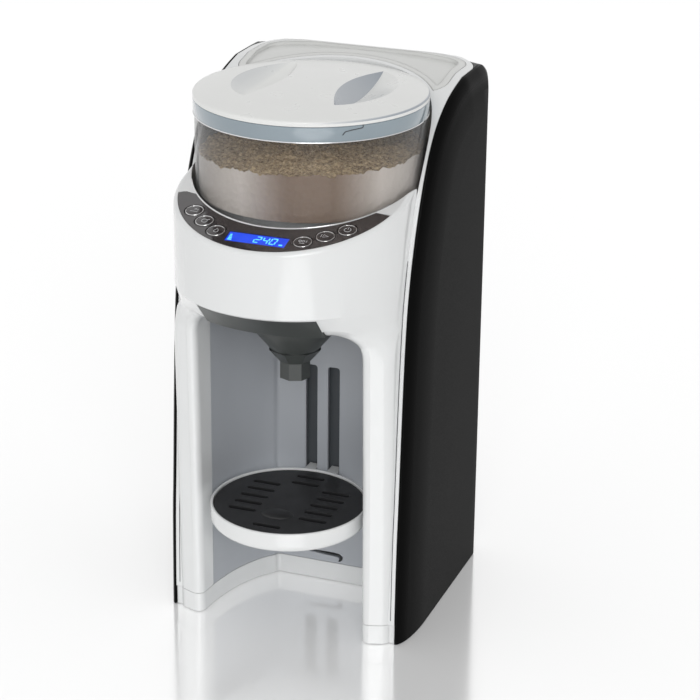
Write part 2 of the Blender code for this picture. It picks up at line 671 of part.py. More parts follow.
def finger_scoop(name, side):
    """A lens-shaped hollow beside the lid's grip: steep on the grip's side, and rising gently outwards."""
    bm = bmesh.new()
    bmesh.ops.create_uvsphere(bm, u_segments=16, v_segments=8, radius=1.0)
    tilt = Matrix.Rotation(side * math.radians(-24), 4, "Y")
    matrix = Matrix.Scale(MM, 4) @ Matrix.Translation((side * 43, 0,
        LID_CROWN + 3.5)) @ tilt @ Matrix.Diagonal((19, 44, 12, 1))
    bmesh.ops.transform(bm, matrix=matrix, verts=bm.verts)
    scoop = from_bmesh(name, bm)
    return cut(scoop, box(name + "_grip", *sorted_corners((-5, -60, 300), (side * 27.5, 60, 400))))


def sorted_corners(a, b):
    return tuple(map(min, a, b)), tuple(map(max, a, b))


def make_dosing_train():
    """Stirring wheel and dosing wheel inside the hopper, and the shaft, gears and motor under it."""
    floor = HOPPER_FLOOR + HOPPER_WALL
    dosing = cylinder("dosing_wheel", 66, floor + 0.4, floor + 5.2, finish="light_grey", sides=20)
    join(dosing, cylinder("dosing_hub", 8.6, HOPPER_FLOOR - 0.2, floor + 3, sides=20))
    for i in range(8):
        a = math.radians(45 * i)
        cut(dosing, cylinder(f"dose_hole_{i}", 7.0, floor - 5, floor + 8,
            (-OUTLET_Y * math.sin(a), OUTLET_Y * math.cos(a)), sides=10))
    cut(dosing, box("dog_socket", (-2.6, -6.0, 270), (2.6, 6.0, floor + 2.4)))
    stirrer = cylinder("stirring_wheel", 9, floor + 5.6, floor + 16, finish="light_grey", sides=16)
    for i in range(3):
        turn = Matrix.Rotation(math.radians(120 * i + 30), 4, "Z")
        join(stirrer, box(f"stir_arm_{i}", (4, -1.6, floor + 8), (64, 1.6, floor + 12), tilt=turn))
        join(stirrer, box(f"stir_paddle_{i}", (52, -1.2, floor + 10), (56, 1.2, floor + 30), tilt=turn))
    shaft = cylinder("drive_shaft", 3.0, 259, 276, sides=20, finish="steel")
    join(shaft, cylinder("dog_neck", 5.4, 275, 279.5, sides=20))
    join(shaft, box("drive_dog", (-1.9, -5.0, 279), (1.9, 5.0, floor + 1.9)))
    distance = (GEAR_TEETH + PINION_TEETH) * GEAR_MODULE / 2 + 0.25
    gear = slab("drive_gear", gear_outline(GEAR_TEETH, GEAR_MODULE), 264, 270, finish="light_grey")
    cut(gear, cylinder("gear_bore", 3.05, 250, 290, sides=20))
    pinion = slab("motor_pinion", [(x, y + distance) for x,
        y in gear_outline(PINION_TEETH, GEAR_MODULE, 180 / PINION_TEETH)], 263, 271, finish="steel")
    cut(pinion, cylinder("pinion_bore", 1.55, 250, 290, (0, distance), sides=12))
    bracket = slab("motor_bracket", rounded_rectangle(-22, -15.5, 22, 44, 6), 255.5, 258, finish="steel")
    cut(bracket, cylinder("bracket_bearing", 3.3, 240, 270, sides=20),
        cylinder("bracket_boss", 5.2, 240, 270, (0, distance), sides=20))
    turned("shaft_bearing", [(5.2, 262), (5.2, 258.3), (3.1, 258.3), (3.1, 262)], finish="steel", steps=20)
    motor = cylinder("powder_motor", 13.5, 228, 255.2, (0, distance), "steel", 32)
    join(motor, cylinder("motor_boss", 4.8, 254, 258.5, (0, distance), sides=20))
    join(motor, cylinder("motor_tail", 5.0, 225.5, 229, (0, distance), sides=20))
    cylinder("motor_shaft", 1.5, 258.8, 271.5, (0, distance), "steel", 12)


# --- Funnel, tray, water, electrics ---


def make_funnel_drawer():
    """One dark moulding: slanted front, floor, cone and spout."""
    z0 = BAY_TOP + GAP
    drawer = box("funnel_drawer", (-DRAWER_HALF_WIDTH, FRONT_Y - 5, z0),
        (DRAWER_HALF_WIDTH, DRAWER_REAR_Y, DRAWER_TOP_Z), "dark_grey")
    keep_inside(drawer, nose_block("drawer_plan", 200, 260))
    behind_front = box("behind_front", (-60, FRONT_Y - 5, z0 + 2.5), (60, 40, 255))
    cut(drawer, keep_inside(behind_front, nose_block("drawer_upper_plan", 201, 259, 3.5)))
    cone = turned("drawer_cone", [
        (CONE_RADIUS, z0 + 1.2), (CONE_RADIUS, z0 - 1), (SPOUT_RADIUS, CONE_BOTTOM),
        (SPOUT_RADIUS, SPOUT_BOTTOM), (0, SPOUT_BOTTOM), (0, z0 + 1.2)],
        (0, OUTLET_Y), steps=24)
    join(drawer, cone)
    inside = turned("drawer_inside", [
        (0, z0 + 10), (CONE_RADIUS - 2, z0 + 10), (CONE_RADIUS - 2, z0 - 1),
        (SPOUT_RADIUS - 2, CONE_BOTTOM + 1), (SPOUT_RADIUS - 2, SPOUT_BOTTOM - 5), (0, SPOUT_BOTTOM - 5)],
        (0, OUTLET_Y), steps=24)
    tidy(cut(drawer, inside))


def make_funnel_rails():
    for name, side in (("left_funnel_rail", -1), ("right_funnel_rail", 1)):
        x0 = DRAWER_HALF_WIDTH + 0.7
        low, high = sorted_corners((side * x0, -60, BAY_TOP + WALL + 0.6),
            (side * (x0 + 3), 8, BAY_TOP + WALL + 9))
        rail = box(name, low, high, "light_grey")
        low, high = sorted_corners((side * (x0 + 2), -60, BAY_TOP + WALL + 3.2),
            (side * (x0 - 4), 8, BAY_TOP + WALL + 5.2))
        join(rail, box(name + "_lip", low, high))


def make_tray():
    """The white tray on two hooks, and the black slotted grid that lies in it."""
    top = TRAY_TOP
    r = TRAY_RADIUS
    tray = turned("bottle_tray", [
        (r, top), (r, top - 8), (r - 4, top - TRAY_HEIGHT), (0, top - TRAY_HEIGHT),
        (0, top - TRAY_HEIGHT + 2.5), (r - 5.5, top - TRAY_HEIGHT + 2.5),
        (r - 2, top - 7), (r - 2, top)], (0, TRAY_Y), "white_gloss", 32)
    for side in (-1, 1):
        x = side * TRAY_TRACK_X
        hook = [(10, top - 12), (10, top - 3), (30, top - 3), (30, top - 8), (22, top - 8), (22, top - 12)]
        join(tray, slab(f"tray_hook_{side}", hook, x - 3.6, x + 3.6, axis="X"))
    cut(tray, cylinder("tray_inside", r - 2, top - 7, top + 10, (0, TRAY_Y), sides=36))
    grid = turned("drip_grid", [
        (0, top - 1.0), (r - 2.4, top - 1.0), (r - 2.4, top - 6.6), (r - 4.4, top - 6.6),
        (r - 4.4, top - 3.2), (0, top - 3.2)],
        (0, TRAY_Y), "rubber", 32)
    for x, y in grid_slots():
        cut(grid, box(f"slot_{x}_{y}", (x - 9.7, TRAY_Y + y - 2, top - 10),
            (x + 9.7, TRAY_Y + y + 2, top + 5)))
    join(grid, bump("grid_bump", (0, TRAY_Y - 21, top - 1.4)))


def bump(name, at):
    """The low dome that locates a bottle on the grid."""
    bm = bmesh.new()
    bmesh.ops.create_uvsphere(bm, u_segments=12, v_segments=6, radius=1.0)
    bmesh.ops.transform(bm, matrix=Matrix.Scale(MM,
        4) @ Matrix.Translation(at) @ Matrix.Diagonal((9, 6, 1.6, 1)), verts=bm.verts)
    return from_bmesh(name, bm)


def grid_slots():
    sides = [(side * 24.7, y) for side in (-1, 1) for y in (-21.4, -10.7, 0, 10.7, 21.4)]
    return [*sides, (0.0, -39.3), (0.0, 39.3), (0.0, 29.0)]


def make_water_system():
    tank_plan = rounded_rectangle(-TANK_HALF_WIDTH, TANK_FRONT_Y, TANK_HALF_WIDTH, TANK_REAR_Y, 6)
    inside = rounded_rectangle(-TANK_HALF_WIDTH + 2, TANK_FRONT_Y + 2, TANK_HALF_WIDTH - 2, TANK_REAR_Y - 2,
        4)
    tank = slab("water_tank", tank_plan, TANK_BOTTOM, TANK_TOP, finish="smoke")
    cut(tank, slab("tank_inside", inside, TANK_BOTTOM + 2.5, TANK_TOP + 20))
    at = (0, TANK_VALVE_Y)
    cut(tank, cylinder("valve_bore", 6.4, 50, 70, at, sides=16))
    turned("tank_valve", [
        (0, TANK_BOTTOM + 5.2), (8.5, TANK_BOTTOM + 5.2), (8.5, TANK_BOTTOM + 2.8),
        (4.0, TANK_BOTTOM + 2.8), (4.0, TANK_BOTTOM - 4.0), (0, TANK_BOTTOM - 4.0)],
        at, "silicone", 24)
    seat = cylinder("tank_socket", 11.5, 44.8, TANK_BOTTOM - 0.4, at, "light_grey", 20)
    cut(seat, cylinder("socket_cup", 9, TANK_BOTTOM - 8, 80, at, sides=16),
        cylinder("socket_port", 3.2, 30, 55, at, sides=16))
    lid_plan = rounded_rectangle(-LID_HALF_WIDTH, LID_FRONT_Y, LID_HALF_WIDTH, LID_REAR_Y, LID_CORNER - GAP)
    lid = slab("tank_lid", lid_plan, TANK_TOP + 4, 380, finish="white_gloss")
    keep_inside(lid, ENVELOPE)
    rim = 5.0
    cut(lid, cylinder("lid_front", RECESS_RADIUS + WALL + 0.9, 300, 400, sides=36))
    dish_plan = rounded_rectangle(-LID_HALF_WIDTH + rim, LID_FRONT_Y + rim, LID_HALF_WIDTH - rim,
        LID_REAR_Y - rim, LID_CORNER - rim)
    dish = cut(slab("lid_dish", dish_plan, 330, 390), DISH_FLOOR)
    cut(lid, cut(dish, cylinder("dish_front", RECESS_RADIUS + WALL + rim, 300, 400, sides=36)))
    under = rounded_rectangle(-LID_HALF_WIDTH + 3, LID_FRONT_Y + 3, LID_HALF_WIDTH - 3, LID_REAR_Y - 3,
        LID_CORNER - 3)
    hollow = keep_inside(slab("lid_under", under, 300, 390), LID_UNDERSIDE)
    cut(lid, cut(hollow, cylinder("under_front", RECESS_RADIUS + WALL + 3, 290, 410, sides=36)))
    pump = cylinder("water_pump", 12, 28, 62, PUMP, "dark_grey", 28)
    join(pump, cylinder("pump_head", 9, 61, 74, PUMP, sides=16))
    heater = cylinder("water_heater", 10.5, 96, 190, HEATER, "steel", 28)
    join(heater, cylinder("heater_foot", 12, 90, 97, HEATER, sides=20),
        cylinder("heater_head", 12, 189, 196, HEATER, sides=20))
    routes = {
        "inlet_tube": [
            (0, TANK_VALVE_Y, 44.4), (0, TANK_VALVE_Y, 34), (4, 84, 24), (16, 60, 20), (30, 44, 19),
            (*PUMP, 21),
            (*PUMP, 27.6)],
        "feed_tube": [
            (*PUMP, 75.0), (*PUMP, 80), (30, 39, 86), (0, 40, 84), (-30, 39, 78), (*HEATER, 82),
            (*HEATER, 89.6)],
        "hot_water_tube": [
            (*HEATER, 196.4), (*HEATER, 206), (-44, 34, 226), (-44, 22, 246), (-34, 4, 251), (-26, 0, 251),
            (-20.4, 0, 251)],
    }
    for name, route in routes.items():
        tube(name, route, TUBE_RADIUS, "silicone")
    nozzle = cylinder("water_nozzle", 4.2, 240, 255.2, (-15, 0), "light_grey", 20)
    join(nozzle, cylinder("nozzle_side", 3.0, -19.6, -14, (0, 251), sides=16, axis="X"))
    cut(nozzle, cylinder("nozzle_bore", 2.0, 230, 250, (-15, 0), sides=12))


def make_electrics():
    box("power_board", (-2, 46.5, 96), (62, 48.1, 196), "board_green")
    inlet = box("power_inlet", (INLET_X - 14, REAR_Y - 26, INLET_Z - 10),
        (INLET_X + 14, REAR_Y - 0.5, INLET_Z + 10), "black_satin")
    cut(inlet, box("inlet_cup", (INLET_X - 11.5, REAR_Y - 14, INLET_Z - 7.5),
        (INLET_X + 11.5, REAR_Y + 5, INLET_Z + 7.5)))
    for i, x in enumerate((INLET_X - 5, INLET_X + 5)):
        low, high = (x - 1.2, REAR_Y - 15, INLET_Z - 1.2), (x + 1.2, REAR_Y - 4, INLET_Z + 1.2)
        join(inlet, box(f"inlet_pin_{i}", low, high))
    turned("powder_chute", [
        (12.5, RECESS_FLOOR - WALL - 0.4), (11.0, 262), (10.4, 243), (8.6, 243), (9.0, 262),
        (9.3, RECESS_FLOOR - WALL - 0.4)],
        (0, OUTLET_Y), "light_grey", 20)


ENVELOPE = envelope("envelope")
ENVELOPE_IN = envelope("envelope_inside", WALL)
DISH_FLOOR = envelope("dish_floor", DISH_DEPTH)
LID_UNDERSIDE = envelope("lid_underside", DISH_DEPTH + 2.2)
CROWN = bpy.data.objects["envelope_crown"]
PLAN = slab("outer_plan", outer_plan(), -10, 400)
DRAWER_ROOM, DRAWER_NOTCH = make_drawer_cutters()

make_front_shell()
make_controls()
make_side_panel("left_side_panel", -1)
make_side_panel("right_side_panel", 1)
make_rear_cover()
make_bay_liner()
make_base()
make_hopper()
make_dosing_train()
make_funnel_drawer()
make_funnel_rails()
make_tray()
make_water_system()
make_electrics()

for part in PARTS.objects:
    if part.type == "MESH" and not part.modifiers:
        part.data.shade_smooth()
        part.data.set_sharp_from_angle(angle=math.radians(35))
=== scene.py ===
"""Formula dispenser: the finished surfaces, materials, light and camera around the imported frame.

Lengths are in millimetres, measured from the axis of the powder hopper at the height of the worktop,
and place() puts them in the frame. The machine faces -Y.
"""

import math

import bmesh
import bpy
from mathutils import Matrix, Vector, noise


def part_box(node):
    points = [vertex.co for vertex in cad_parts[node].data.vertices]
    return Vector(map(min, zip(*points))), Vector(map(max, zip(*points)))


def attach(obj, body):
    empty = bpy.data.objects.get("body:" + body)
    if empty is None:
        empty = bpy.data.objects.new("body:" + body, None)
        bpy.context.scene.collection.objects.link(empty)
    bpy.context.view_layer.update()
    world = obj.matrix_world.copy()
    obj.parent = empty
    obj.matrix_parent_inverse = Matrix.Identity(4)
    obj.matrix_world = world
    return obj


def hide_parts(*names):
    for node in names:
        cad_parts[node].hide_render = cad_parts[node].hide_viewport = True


MM = 0.001
HOPPER_Y = -4.5
GAP = 0.3
WALL = 2.5
FAR_BELOW = -10.0
FAR_ABOVE = 400.0

FRONT_Y = -105.0
REAR_Y = 114.0
HALF_WIDTH = 87.0
TOP_Z = 362.5
CORE_HALF_WIDTH = 78.3
CORE_FRONT_Y = -60
CORE_FAR_TOP = 380
CORE_REAR_Y = 108.7
CORE_REAR_RADIUS = 22.0
REAR_RADIUS = 18.0
REAR_HALF_WIDTH = 86.7
REAR_TOP_RADIUS = 14.0
CROWN_RADIUS = 544.0
FRONT_EDGE = [
    (-48.5, -20), (-46.5, 60), (-44, 100), (-37.3, 200), (-29.4, 250),
    (-12.6, 297), (8.2, 330.5), (36, 349), (74, 358.5), (92, 361.6)]
BASE_HEIGHT = 14.0
FRONT_FOOT_Y = -48.0
PANEL_EDGE = 0.3
PANEL_SWEEP = 38.0

NOSE_Y = -28.0
NOSE_SIDE = 75.5
NOSE_CORNER = 5.0
NOSE_HALF_WIDTH = 76.2
NOSE_LENGTH = NOSE_Y - FRONT_Y
NOSE_SECTIONS = [
    (0, 95, 33), (130, 95, 37.5), (200, 95, 40.6), (212, 86, 45), (222, NOSE_HALF_WIDTH, 57),
    (240, NOSE_HALF_WIDTH, NOSE_LENGTH)]
NOSE_LEVELS = (60, 130, 170, 200, 206, 212, 217, 222, 226, 230, 235, 240)
NOSE_REAR = 12.0
DECK_SLOPE = math.atan(0.26)
DECK_FRONT_Z = 281.9
DECK_EDGE = 3.0

BAY_HALF_WIDTH = 56.5
BAY_TOP = 222.0
BAY_CORNER = 18.0
BAY_LIP = 7.5
BAY_DEPTHS = [(-34, 55.2), (-17, 52.0), (-2, 47.2), (12, 40.0), (20, 33.5), (23, 30.0)]
LINER_FRONT_Y = -37.0

HOPPER_RADIUS = 74.0
HOPPER_FLOOR = 283.0
HOPPER_TOP = 346.0
HOPPER_WALL = 2.2
RECESS_RADIUS = 76.3
RECESS_FLOOR = 282.0
COLLAR_BOTTOM = 343.5
LID_RADIUS = 75.0
LID_RIM = 356.8
LID_CROWN = 361.5
OUTLET_Y = -27.3
OUTLET_RADIUS = 9.0
POWDER_TOP = 321.5

DRAWER_HALF_WIDTH = 39.4
DRAWER_PLAY = 0.4
DRAWER_TOP_Z = 238.5
DRAWER_REAR_Y = 10.0
CONE_RADIUS = 34.0
SPOUT_RADIUS = 10.1
CONE_BOTTOM = 184.0
SPOUT_BOTTOM = 172.5

TRAY_Y = -37.2
TRAY_RADIUS = 52.0
TRAY_TOP = 87.4
TRAY_HEIGHT = 13.8
TRAY_TRACK_X = 8.0
TRACK_BOTTOM = 30.0
TRACK_TOP = 160.0
LOW_SLOT = [
    (-14.5, 21.4), (-5, 21.9), (3, 22.1), (9.4, 22.0), (13, 21.6), (15.4, 19.9), (15.3, 17.6), (13.6, 15.7),
    (12.0, 15.7),
    (12.8, 17.2), (12.4, 18.6), (9.4, 19.2), (3, 19.4), (-5, 20.0), (-14.5, 20.4)]

TANK_TOP = 338.0
LID_HALF_WIDTH = 72.6
LID_FRONT_Y = 42.0
LID_REAR_Y = 104.6
LID_CORNER = 15.0
DISH_DEPTH = 2.6

BUTTON_RADIUS = 6.4
BUTTON_PLACES = {
    "strength": (-50.9, -68.6), "formula": (-40.0, -78.0), "water": (-28.6, -86.6),
    "size": (28.6, -86.6), "start": (40.0, -78.0), "power": (50.9, -68.6)}
DISPLAY_WIDTH = 39.0
DISPLAY_HEIGHT = 10.0
DISPLAY_Y = -90.0

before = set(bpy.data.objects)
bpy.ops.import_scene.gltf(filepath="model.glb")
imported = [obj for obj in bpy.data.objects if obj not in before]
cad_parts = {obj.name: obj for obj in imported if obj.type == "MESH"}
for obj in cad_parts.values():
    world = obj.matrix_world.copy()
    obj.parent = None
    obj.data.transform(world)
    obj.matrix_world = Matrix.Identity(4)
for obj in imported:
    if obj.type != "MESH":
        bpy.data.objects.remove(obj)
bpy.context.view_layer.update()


# --- Mesh tools ---


def new_object(name, data):
    obj = bpy.data.objects.new(name, data)
    bpy.context.scene.collection.objects.link(obj)
    return obj


def place(name, bm):
    """A mesh in millimetres from the hopper's axis becomes an object in the frame."""
    bmesh.ops.recalc_face_normals(bm, faces=bm.faces)
    bmesh.ops.transform(bm, matrix=Matrix.Scale(MM, 4) @ Matrix.Translation((0, HOPPER_Y, 0)),
        verts=bm.verts)
    mesh = bpy.data.meshes.new(name)
    bm.to_mesh(mesh)
    bm.free()
    return new_object(name, mesh)


def box(name, low, high, tilt=None):
    bm = bmesh.new()
    bmesh.ops.create_cube(bm, size=1.0)
    size = [b - a for a, b in zip(low, high)]
    middle = [(a + b) / 2 for a, b in zip(low, high)]
    matrix = (tilt or Matrix.Identity(4)) @ Matrix.Translation(middle) @ Matrix.Diagonal((*size, 1.0))
    bmesh.ops.transform(bm, matrix=matrix, verts=bm.verts)
    return place(name, bm)


def cylinder(name, radius, low, high, centre=(0, 0), sides=64, top_radius=None, tilt=None):
    bm = bmesh.new()
    top = radius if top_radius is None else top_radius
    bmesh.ops.create_cone(bm, cap_ends=True, segments=sides, radius1=radius, radius2=top, depth=high - low)
    matrix = (tilt or Matrix.Identity(4)) @ Matrix.Translation((*centre, (low + high) / 2))
    bmesh.ops.transform(bm, matrix=matrix, verts=bm.verts)
    return place(name, bm)


def skin_rings(bm, pairs):
    """Faces between pairs of rings; a ring may be one point repeated, which makes a pole."""
    for upper, lower in pairs:
        for i in range(len(upper)):
            j = (i + 1) % len(upper)
            corners = list(dict.fromkeys((upper[i], lower[i], lower[j], upper[j])))
            if len(corners) > 2:
                bm.faces.new(corners)


def turned(name, profile, centre=(0, 0), steps=128):
    """A profile of (radius, Z) points turned about a vertical axis; points on the axis become poles."""
    bm = bmesh.new()
    rings = []
    for radius, z in profile:
        if radius == 0:
            rings.append([bm.verts.new((*centre, z))] * steps)
            continue
        rings.append([bm.verts.new((x, y, z)) for x, y in circle(centre, radius, steps)])
    closed = profile[0][0] != 0 or profile[-1][0] != 0
    skin_rings(bm, list(zip(rings, rings[1:])) + ([(rings[-1], rings[0])] if closed else []))
    return place(name, bm)


def loft(name, rings):
    """A closed solid through rings that have the same number of points, with flat first and last rings."""
    bm = bmesh.new()
    made = [[bm.verts.new(p) for p in ring] for ring in rings]
    for near, far in zip(made, made[1:]):
        for i in range(len(near)):
            j = (i + 1) % len(near)
            bm.faces.new((near[i], near[j], far[j]))
            bm.faces.new((near[i], far[j], far[i]))
    bm.faces.new(made[0])
    bm.faces.new(made[-1])
    return place(name, bm)


def slab(name, outline, low, high, axis="Z"):
    """A flat outline given thickness along an axis; its points are the other two coordinates."""
    put = {
        "X": lambda u, v, w: (w, u, v), "Y": lambda u, v, w: (u, w, v),
        "Z": lambda u, v, w: (u, v, w)}[axis]
    bm = bmesh.new()
    near = [bm.verts.new(put(u, v, low)) for u, v in outline]
    far = [bm.verts.new(put(u, v, high)) for u, v in outline]
    bm.faces.new(near)
    bm.faces.new(far)
    for i in range(len(outline)):
        j = (i + 1) % len(outline)
        bm.faces.new((near[i], near[j], far[j], far[i]))
    return place(name, bm)


def sweep(name, points, radius, closed=False, sides=10):
    """A tube through the points, as a mesh made from a curve."""
    data = bpy.data.curves.new(name, "CURVE")
    data.dimensions = "3D"
    data.bevel_depth = radius * MM
    data.bevel_resolution = sides // 4
    data.use_fill_caps = True
    spline = data.splines.new("POLY")
    spline.points.add(len(points) - 1)
    for point, (x, y, z) in zip(spline.points, points):
        point.co = (x * MM, (y + HOPPER_Y) * MM, z * MM, 1)
    spline.use_cyclic_u = closed
    guide = new_object(name + "_path", data)
    mesh = bpy.data.meshes.new_from_object(guide.evaluated_get(bpy.context.evaluated_depsgraph_get()))
    bpy.data.objects.remove(guide)
    mesh.name = name
    return new_object(name, mesh)


def carve(obj, operation, *others):
    """Applies a Boolean with each of the other solids in turn and removes them."""
    for other in others:
        modifier = obj.modifiers.new(operation, "BOOLEAN")
        modifier.operation = operation
        modifier.object = other
    bake_modifiers(obj)
    for other in others:
        bpy.data.objects.remove(other)
    return obj


def bake_modifiers(obj):
    mesh = bpy.data.meshes.new_from_object(obj.evaluated_get(bpy.context.evaluated_depsgraph_get()))
    obj.modifiers.clear()
    obj.data = mesh


def cut(obj, *others):
    return carve(obj, "DIFFERENCE", *others)


def join(obj, *others):
    return carve(obj, "UNION", *others)


def keep_inside(obj, *others):
    return carve(obj, "INTERSECT", *others)


def finish_piece(obj, body, look, *nodes, sharp=35):
    """Shades a piece, gives it its look, sets it on its body and hides the solids it stands for."""
    obj.data.materials.clear()
    obj.data.materials.append(LOOKS[look])
    obj.data.shade_smooth()
    obj.data.set_sharp_from_angle(angle=math.radians(sharp))
    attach(obj, body)
    if nodes:
        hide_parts(*nodes)
    return obj


def smooth_path(points, count):
    """A Catmull-Rom curve through the points, with count samples for each span."""
    ends = [points[0], *points, points[-1]]
    path = []
    for a, b, c, d in zip(ends, ends[1:], ends[2:], ends[3:]):
        for step in range(count):
            t = step / count
            path.append(tuple(
                0.5 * (2 * q + (r - p) * t + (2 * p - 5 * q + 4 * r - s) * t * t
                       + (3 * q - p - 3 * r + s) * t**3)
                for p, q, r, s in zip(a, b, c, d)))
    return [*path, tuple(points[-1])]


def arc(centre, radius, start, end, count):
    angles = [math.radians(start + (end - start) * i / count) for i in range(count + 1)]
    return [(centre[0] + radius * math.cos(a), centre[1] + radius * math.sin(a)) for a in angles]


def circle(centre, radius, count):
    return arc(centre, radius, 0, 360, count)[:-1]


def rounded_back(half_width, front_y, rear_y, radius):
    x = half_width - radius
    y = rear_y - radius
    return [(-half_width, front_y), (half_width, front_y), *arc((x, y), radius, 0, 90, 16),
        *arc((-x, y), radius, 90, 180, 16)]


def rounded_rectangle(x0, y0, x1, y1, radius, count=10):
    corners = [(x1 - radius, y1 - radius, 0), (x0 + radius, y1 - radius, 90),
        (x0 + radius, y0 + radius, 180), (x1 - radius, y0 + radius, 270)]
    return [p for x, y, start in corners for p in arc((x, y), radius, start, start + 90, count)]


# --- Body surfaces ---


def nose_surface(x, z, inset=0.0):
    """How far forward the nose reaches at x and z, once it is inset."""
    z = min(max(z, NOSE_SECTIONS[0][0]), NOSE_SECTIONS[-1][0])
    for (z0, a0, b0), (z1, a1, b1) in zip(NOSE_SECTIONS, NOSE_SECTIONS[1:]):
        if z <= z1:
            share = (z - z0) / (z1 - z0)
            share = share * share * (3 - 2 * share) if z0 == 200 else share
            half_width = a0 + share * (a1 - a0) - inset
            length = b0 + share * (b1 - b0) - inset
            return NOSE_Y - length * math.sqrt(max(0.0, 1 - (x / half_width) ** 2))


def nose_outline(z, inset, count=72):
    corner = max(NOSE_CORNER - inset, 2.0)
    flat = NOSE_SIDE - inset - corner
    front = [(flat * math.cos(t), 0.0) for t in (math.radians(180 + 180 * i / count)
        for i in range(count + 1))]
    turns = [math.radians(15 * i) for i in range(1, 7)]
    right = [(flat + corner * math.sin(t), corner - corner * math.cos(t)) for t in turns]
    outline = [*[(-x, back) for x, back in reversed(right)], *front, *right]
    points = [(x, nose_surface(x, z, inset) + back) for x, back in outline]
    return [*points, (NOSE_SIDE - inset, NOSE_REAR), (inset - NOSE_SIDE, NOSE_REAR)]


def deck_height(y):
    return DECK_FRONT_Z + math.tan(DECK_SLOPE) * (y - FRONT_Y)


def nose_block(name, low, high, inset=0.0):
    levels = [low, *[z for z in NOSE_LEVELS if low < z < high], high]
    return loft(name, [[(x, y, z) for x, y in nose_outline(z, inset)] for z in levels])


def nose_with_deck(name, low, inset=0.0, drop=0.0):
    """The nose under its sloping deck, with the edge between them rounded."""
    levels = [low, *[z for z in NOSE_LEVELS if low < z]]
    rings = [[(x, y, z) for x, y in nose_outline(z, inset)] for z in levels]
    for i in range(7):
        turn = math.radians(15 * i)
        outline = nose_outline(260, inset + DECK_EDGE * (1 - math.cos(turn)))
        rings.append([(x, y, deck_height(y) - drop - DECK_EDGE * (1 - math.sin(turn))) for x, y in outline])
    return loft(name, rings)


def envelope(name, inset=0.0):
    edge = [(y + inset, z - inset * 0.6) for y, z in smooth_path(FRONT_EDGE, 8)]
    centre = (REAR_Y - REAR_TOP_RADIUS - inset, TOP_Z - 1 - REAR_TOP_RADIUS - inset)
    rear = arc(centre, REAR_TOP_RADIUS, 80, 0, 12)
    side = slab(name, [*edge, *rear, (REAR_Y - inset, -20)], -HALF_WIDTH - 5, HALF_WIDTH + 5, axis="X")
    return keep_inside(side, crown_block(inset))


def crown_block(inset=0.0):
    """Everything below the crowned roof."""
    spread = math.degrees(math.asin(100 / CROWN_RADIUS))
    roof = arc((0, TOP_Z - inset - CROWN_RADIUS), CROWN_RADIUS, 90 - spread, 90 + spread, 48)
    return slab("crown", [*roof, (-100, -30), (100, -30)], FRONT_Y - 20, REAR_Y + 20, axis="Y")


def deck_frame(depth=0.0):
    lift = Matrix.Translation((0, 0, -depth))
    return Matrix.Translation((0, FRONT_Y, DECK_FRONT_Z)) @ Matrix.Rotation(DECK_SLOPE, 4, "X") @ lift


def deck_y(plan_y):
    return (plan_y - FRONT_Y) / math.cos(DECK_SLOPE)


def bay_rings(grow=0.0):
    """Rings around the bay, from in front of the nose to the back wall, with a rounded lip at the nose."""
    lip = BAY_LIP - grow
    half = BAY_HALF_WIDTH + grow
    top = BAY_TOP + grow
    turns = [math.radians(7.5 * i) for i in range(13)]
    shoulder = BAY_TOP - BAY_CORNER

    def ring(x_side, z_top, depth_at):
        flat = BAY_HALF_WIDTH - BAY_CORNER + x_side - half
        right = [(x_side, z) for z in (-10.0, 60.0, 130.0, 170.0, 200.0)]
        right += [(flat + (BAY_CORNER + grow) * math.cos(a), shoulder + (z_top - shoulder) * math.sin(a))
            for a in turns]
        left = [(-x, z) for x, z in reversed(right)]
        return [(x, depth_at(x, z), z) for x, z in right + left]

    start = 1 - math.cos(math.radians(80))
    rings = [ring(half + start * lip, top + start * lip, lambda x, z: FRONT_Y - 25)]
    for angle in range(80, -1, -8):
        wide = lip * (1 - math.cos(math.radians(angle)))
        back = lip * (1 - math.sin(math.radians(angle)))
        rings.append(ring(half + wide, top + wide, lambda x, z, back=back: nose_surface(x, z) + back))
    walls = smooth_path(BAY_DEPTHS[:-1], 4)
    for y, width in walls:
        rings.append(ring(width + grow, top, lambda x, z, depth=y: depth))
    for y, width in arc_corner(BAY_DEPTHS[-1], BAY_DEPTHS[-2]):
        rings.append(ring(width + grow, top, lambda x, z, depth=y + grow: depth))
    return rings


def arc_corner(last, before):
    """Rounds the corner between the bay's side wall and its back wall."""
    (y1, w1), (y0, w0) = last, before
    return [(y0 + (y1 - y0) * math.sin(t), w1 + (w0 - w1) * math.cos(t))
        for t in (math.radians(22.5 * i) for i in range(1, 5))]


# --- Materials ---


def new_material(name):
    made = bpy.data.materials.new(name)
    made.use_nodes = True
    return made, made.node_tree.nodes, made.node_tree.links, made.node_tree.nodes["Principled BSDF"]


def texture(nodes, links, kind, scale, stretch=None, **settings):
    """A texture node in object space, with its input vector stretched along some axes."""
    coordinates = nodes.new("ShaderNodeTexCoord")
    mapping = nodes.new("ShaderNodeMapping")
    mapping.inputs["Scale"].default_value = stretch or (1, 1, 1)
    made = nodes.new(kind)
    made.inputs["Scale"].default_value = scale
    for key, value in settings.items():
        made.inputs[key].default_value = value
    links.new(coordinates.outputs["Object"], mapping.inputs["Vector"])
    links.new(mapping.outputs["Vector"], made.inputs["Vector"])
    return made


def feed(links, value, socket):
    """Links an output to a socket, or gives the socket a fixed number or colour."""
    if isinstance(value, bpy.types.NodeSocket):
        links.new(value, socket)
    else:
        socket.default_value = (*value, 1) if isinstance(value, tuple) else value


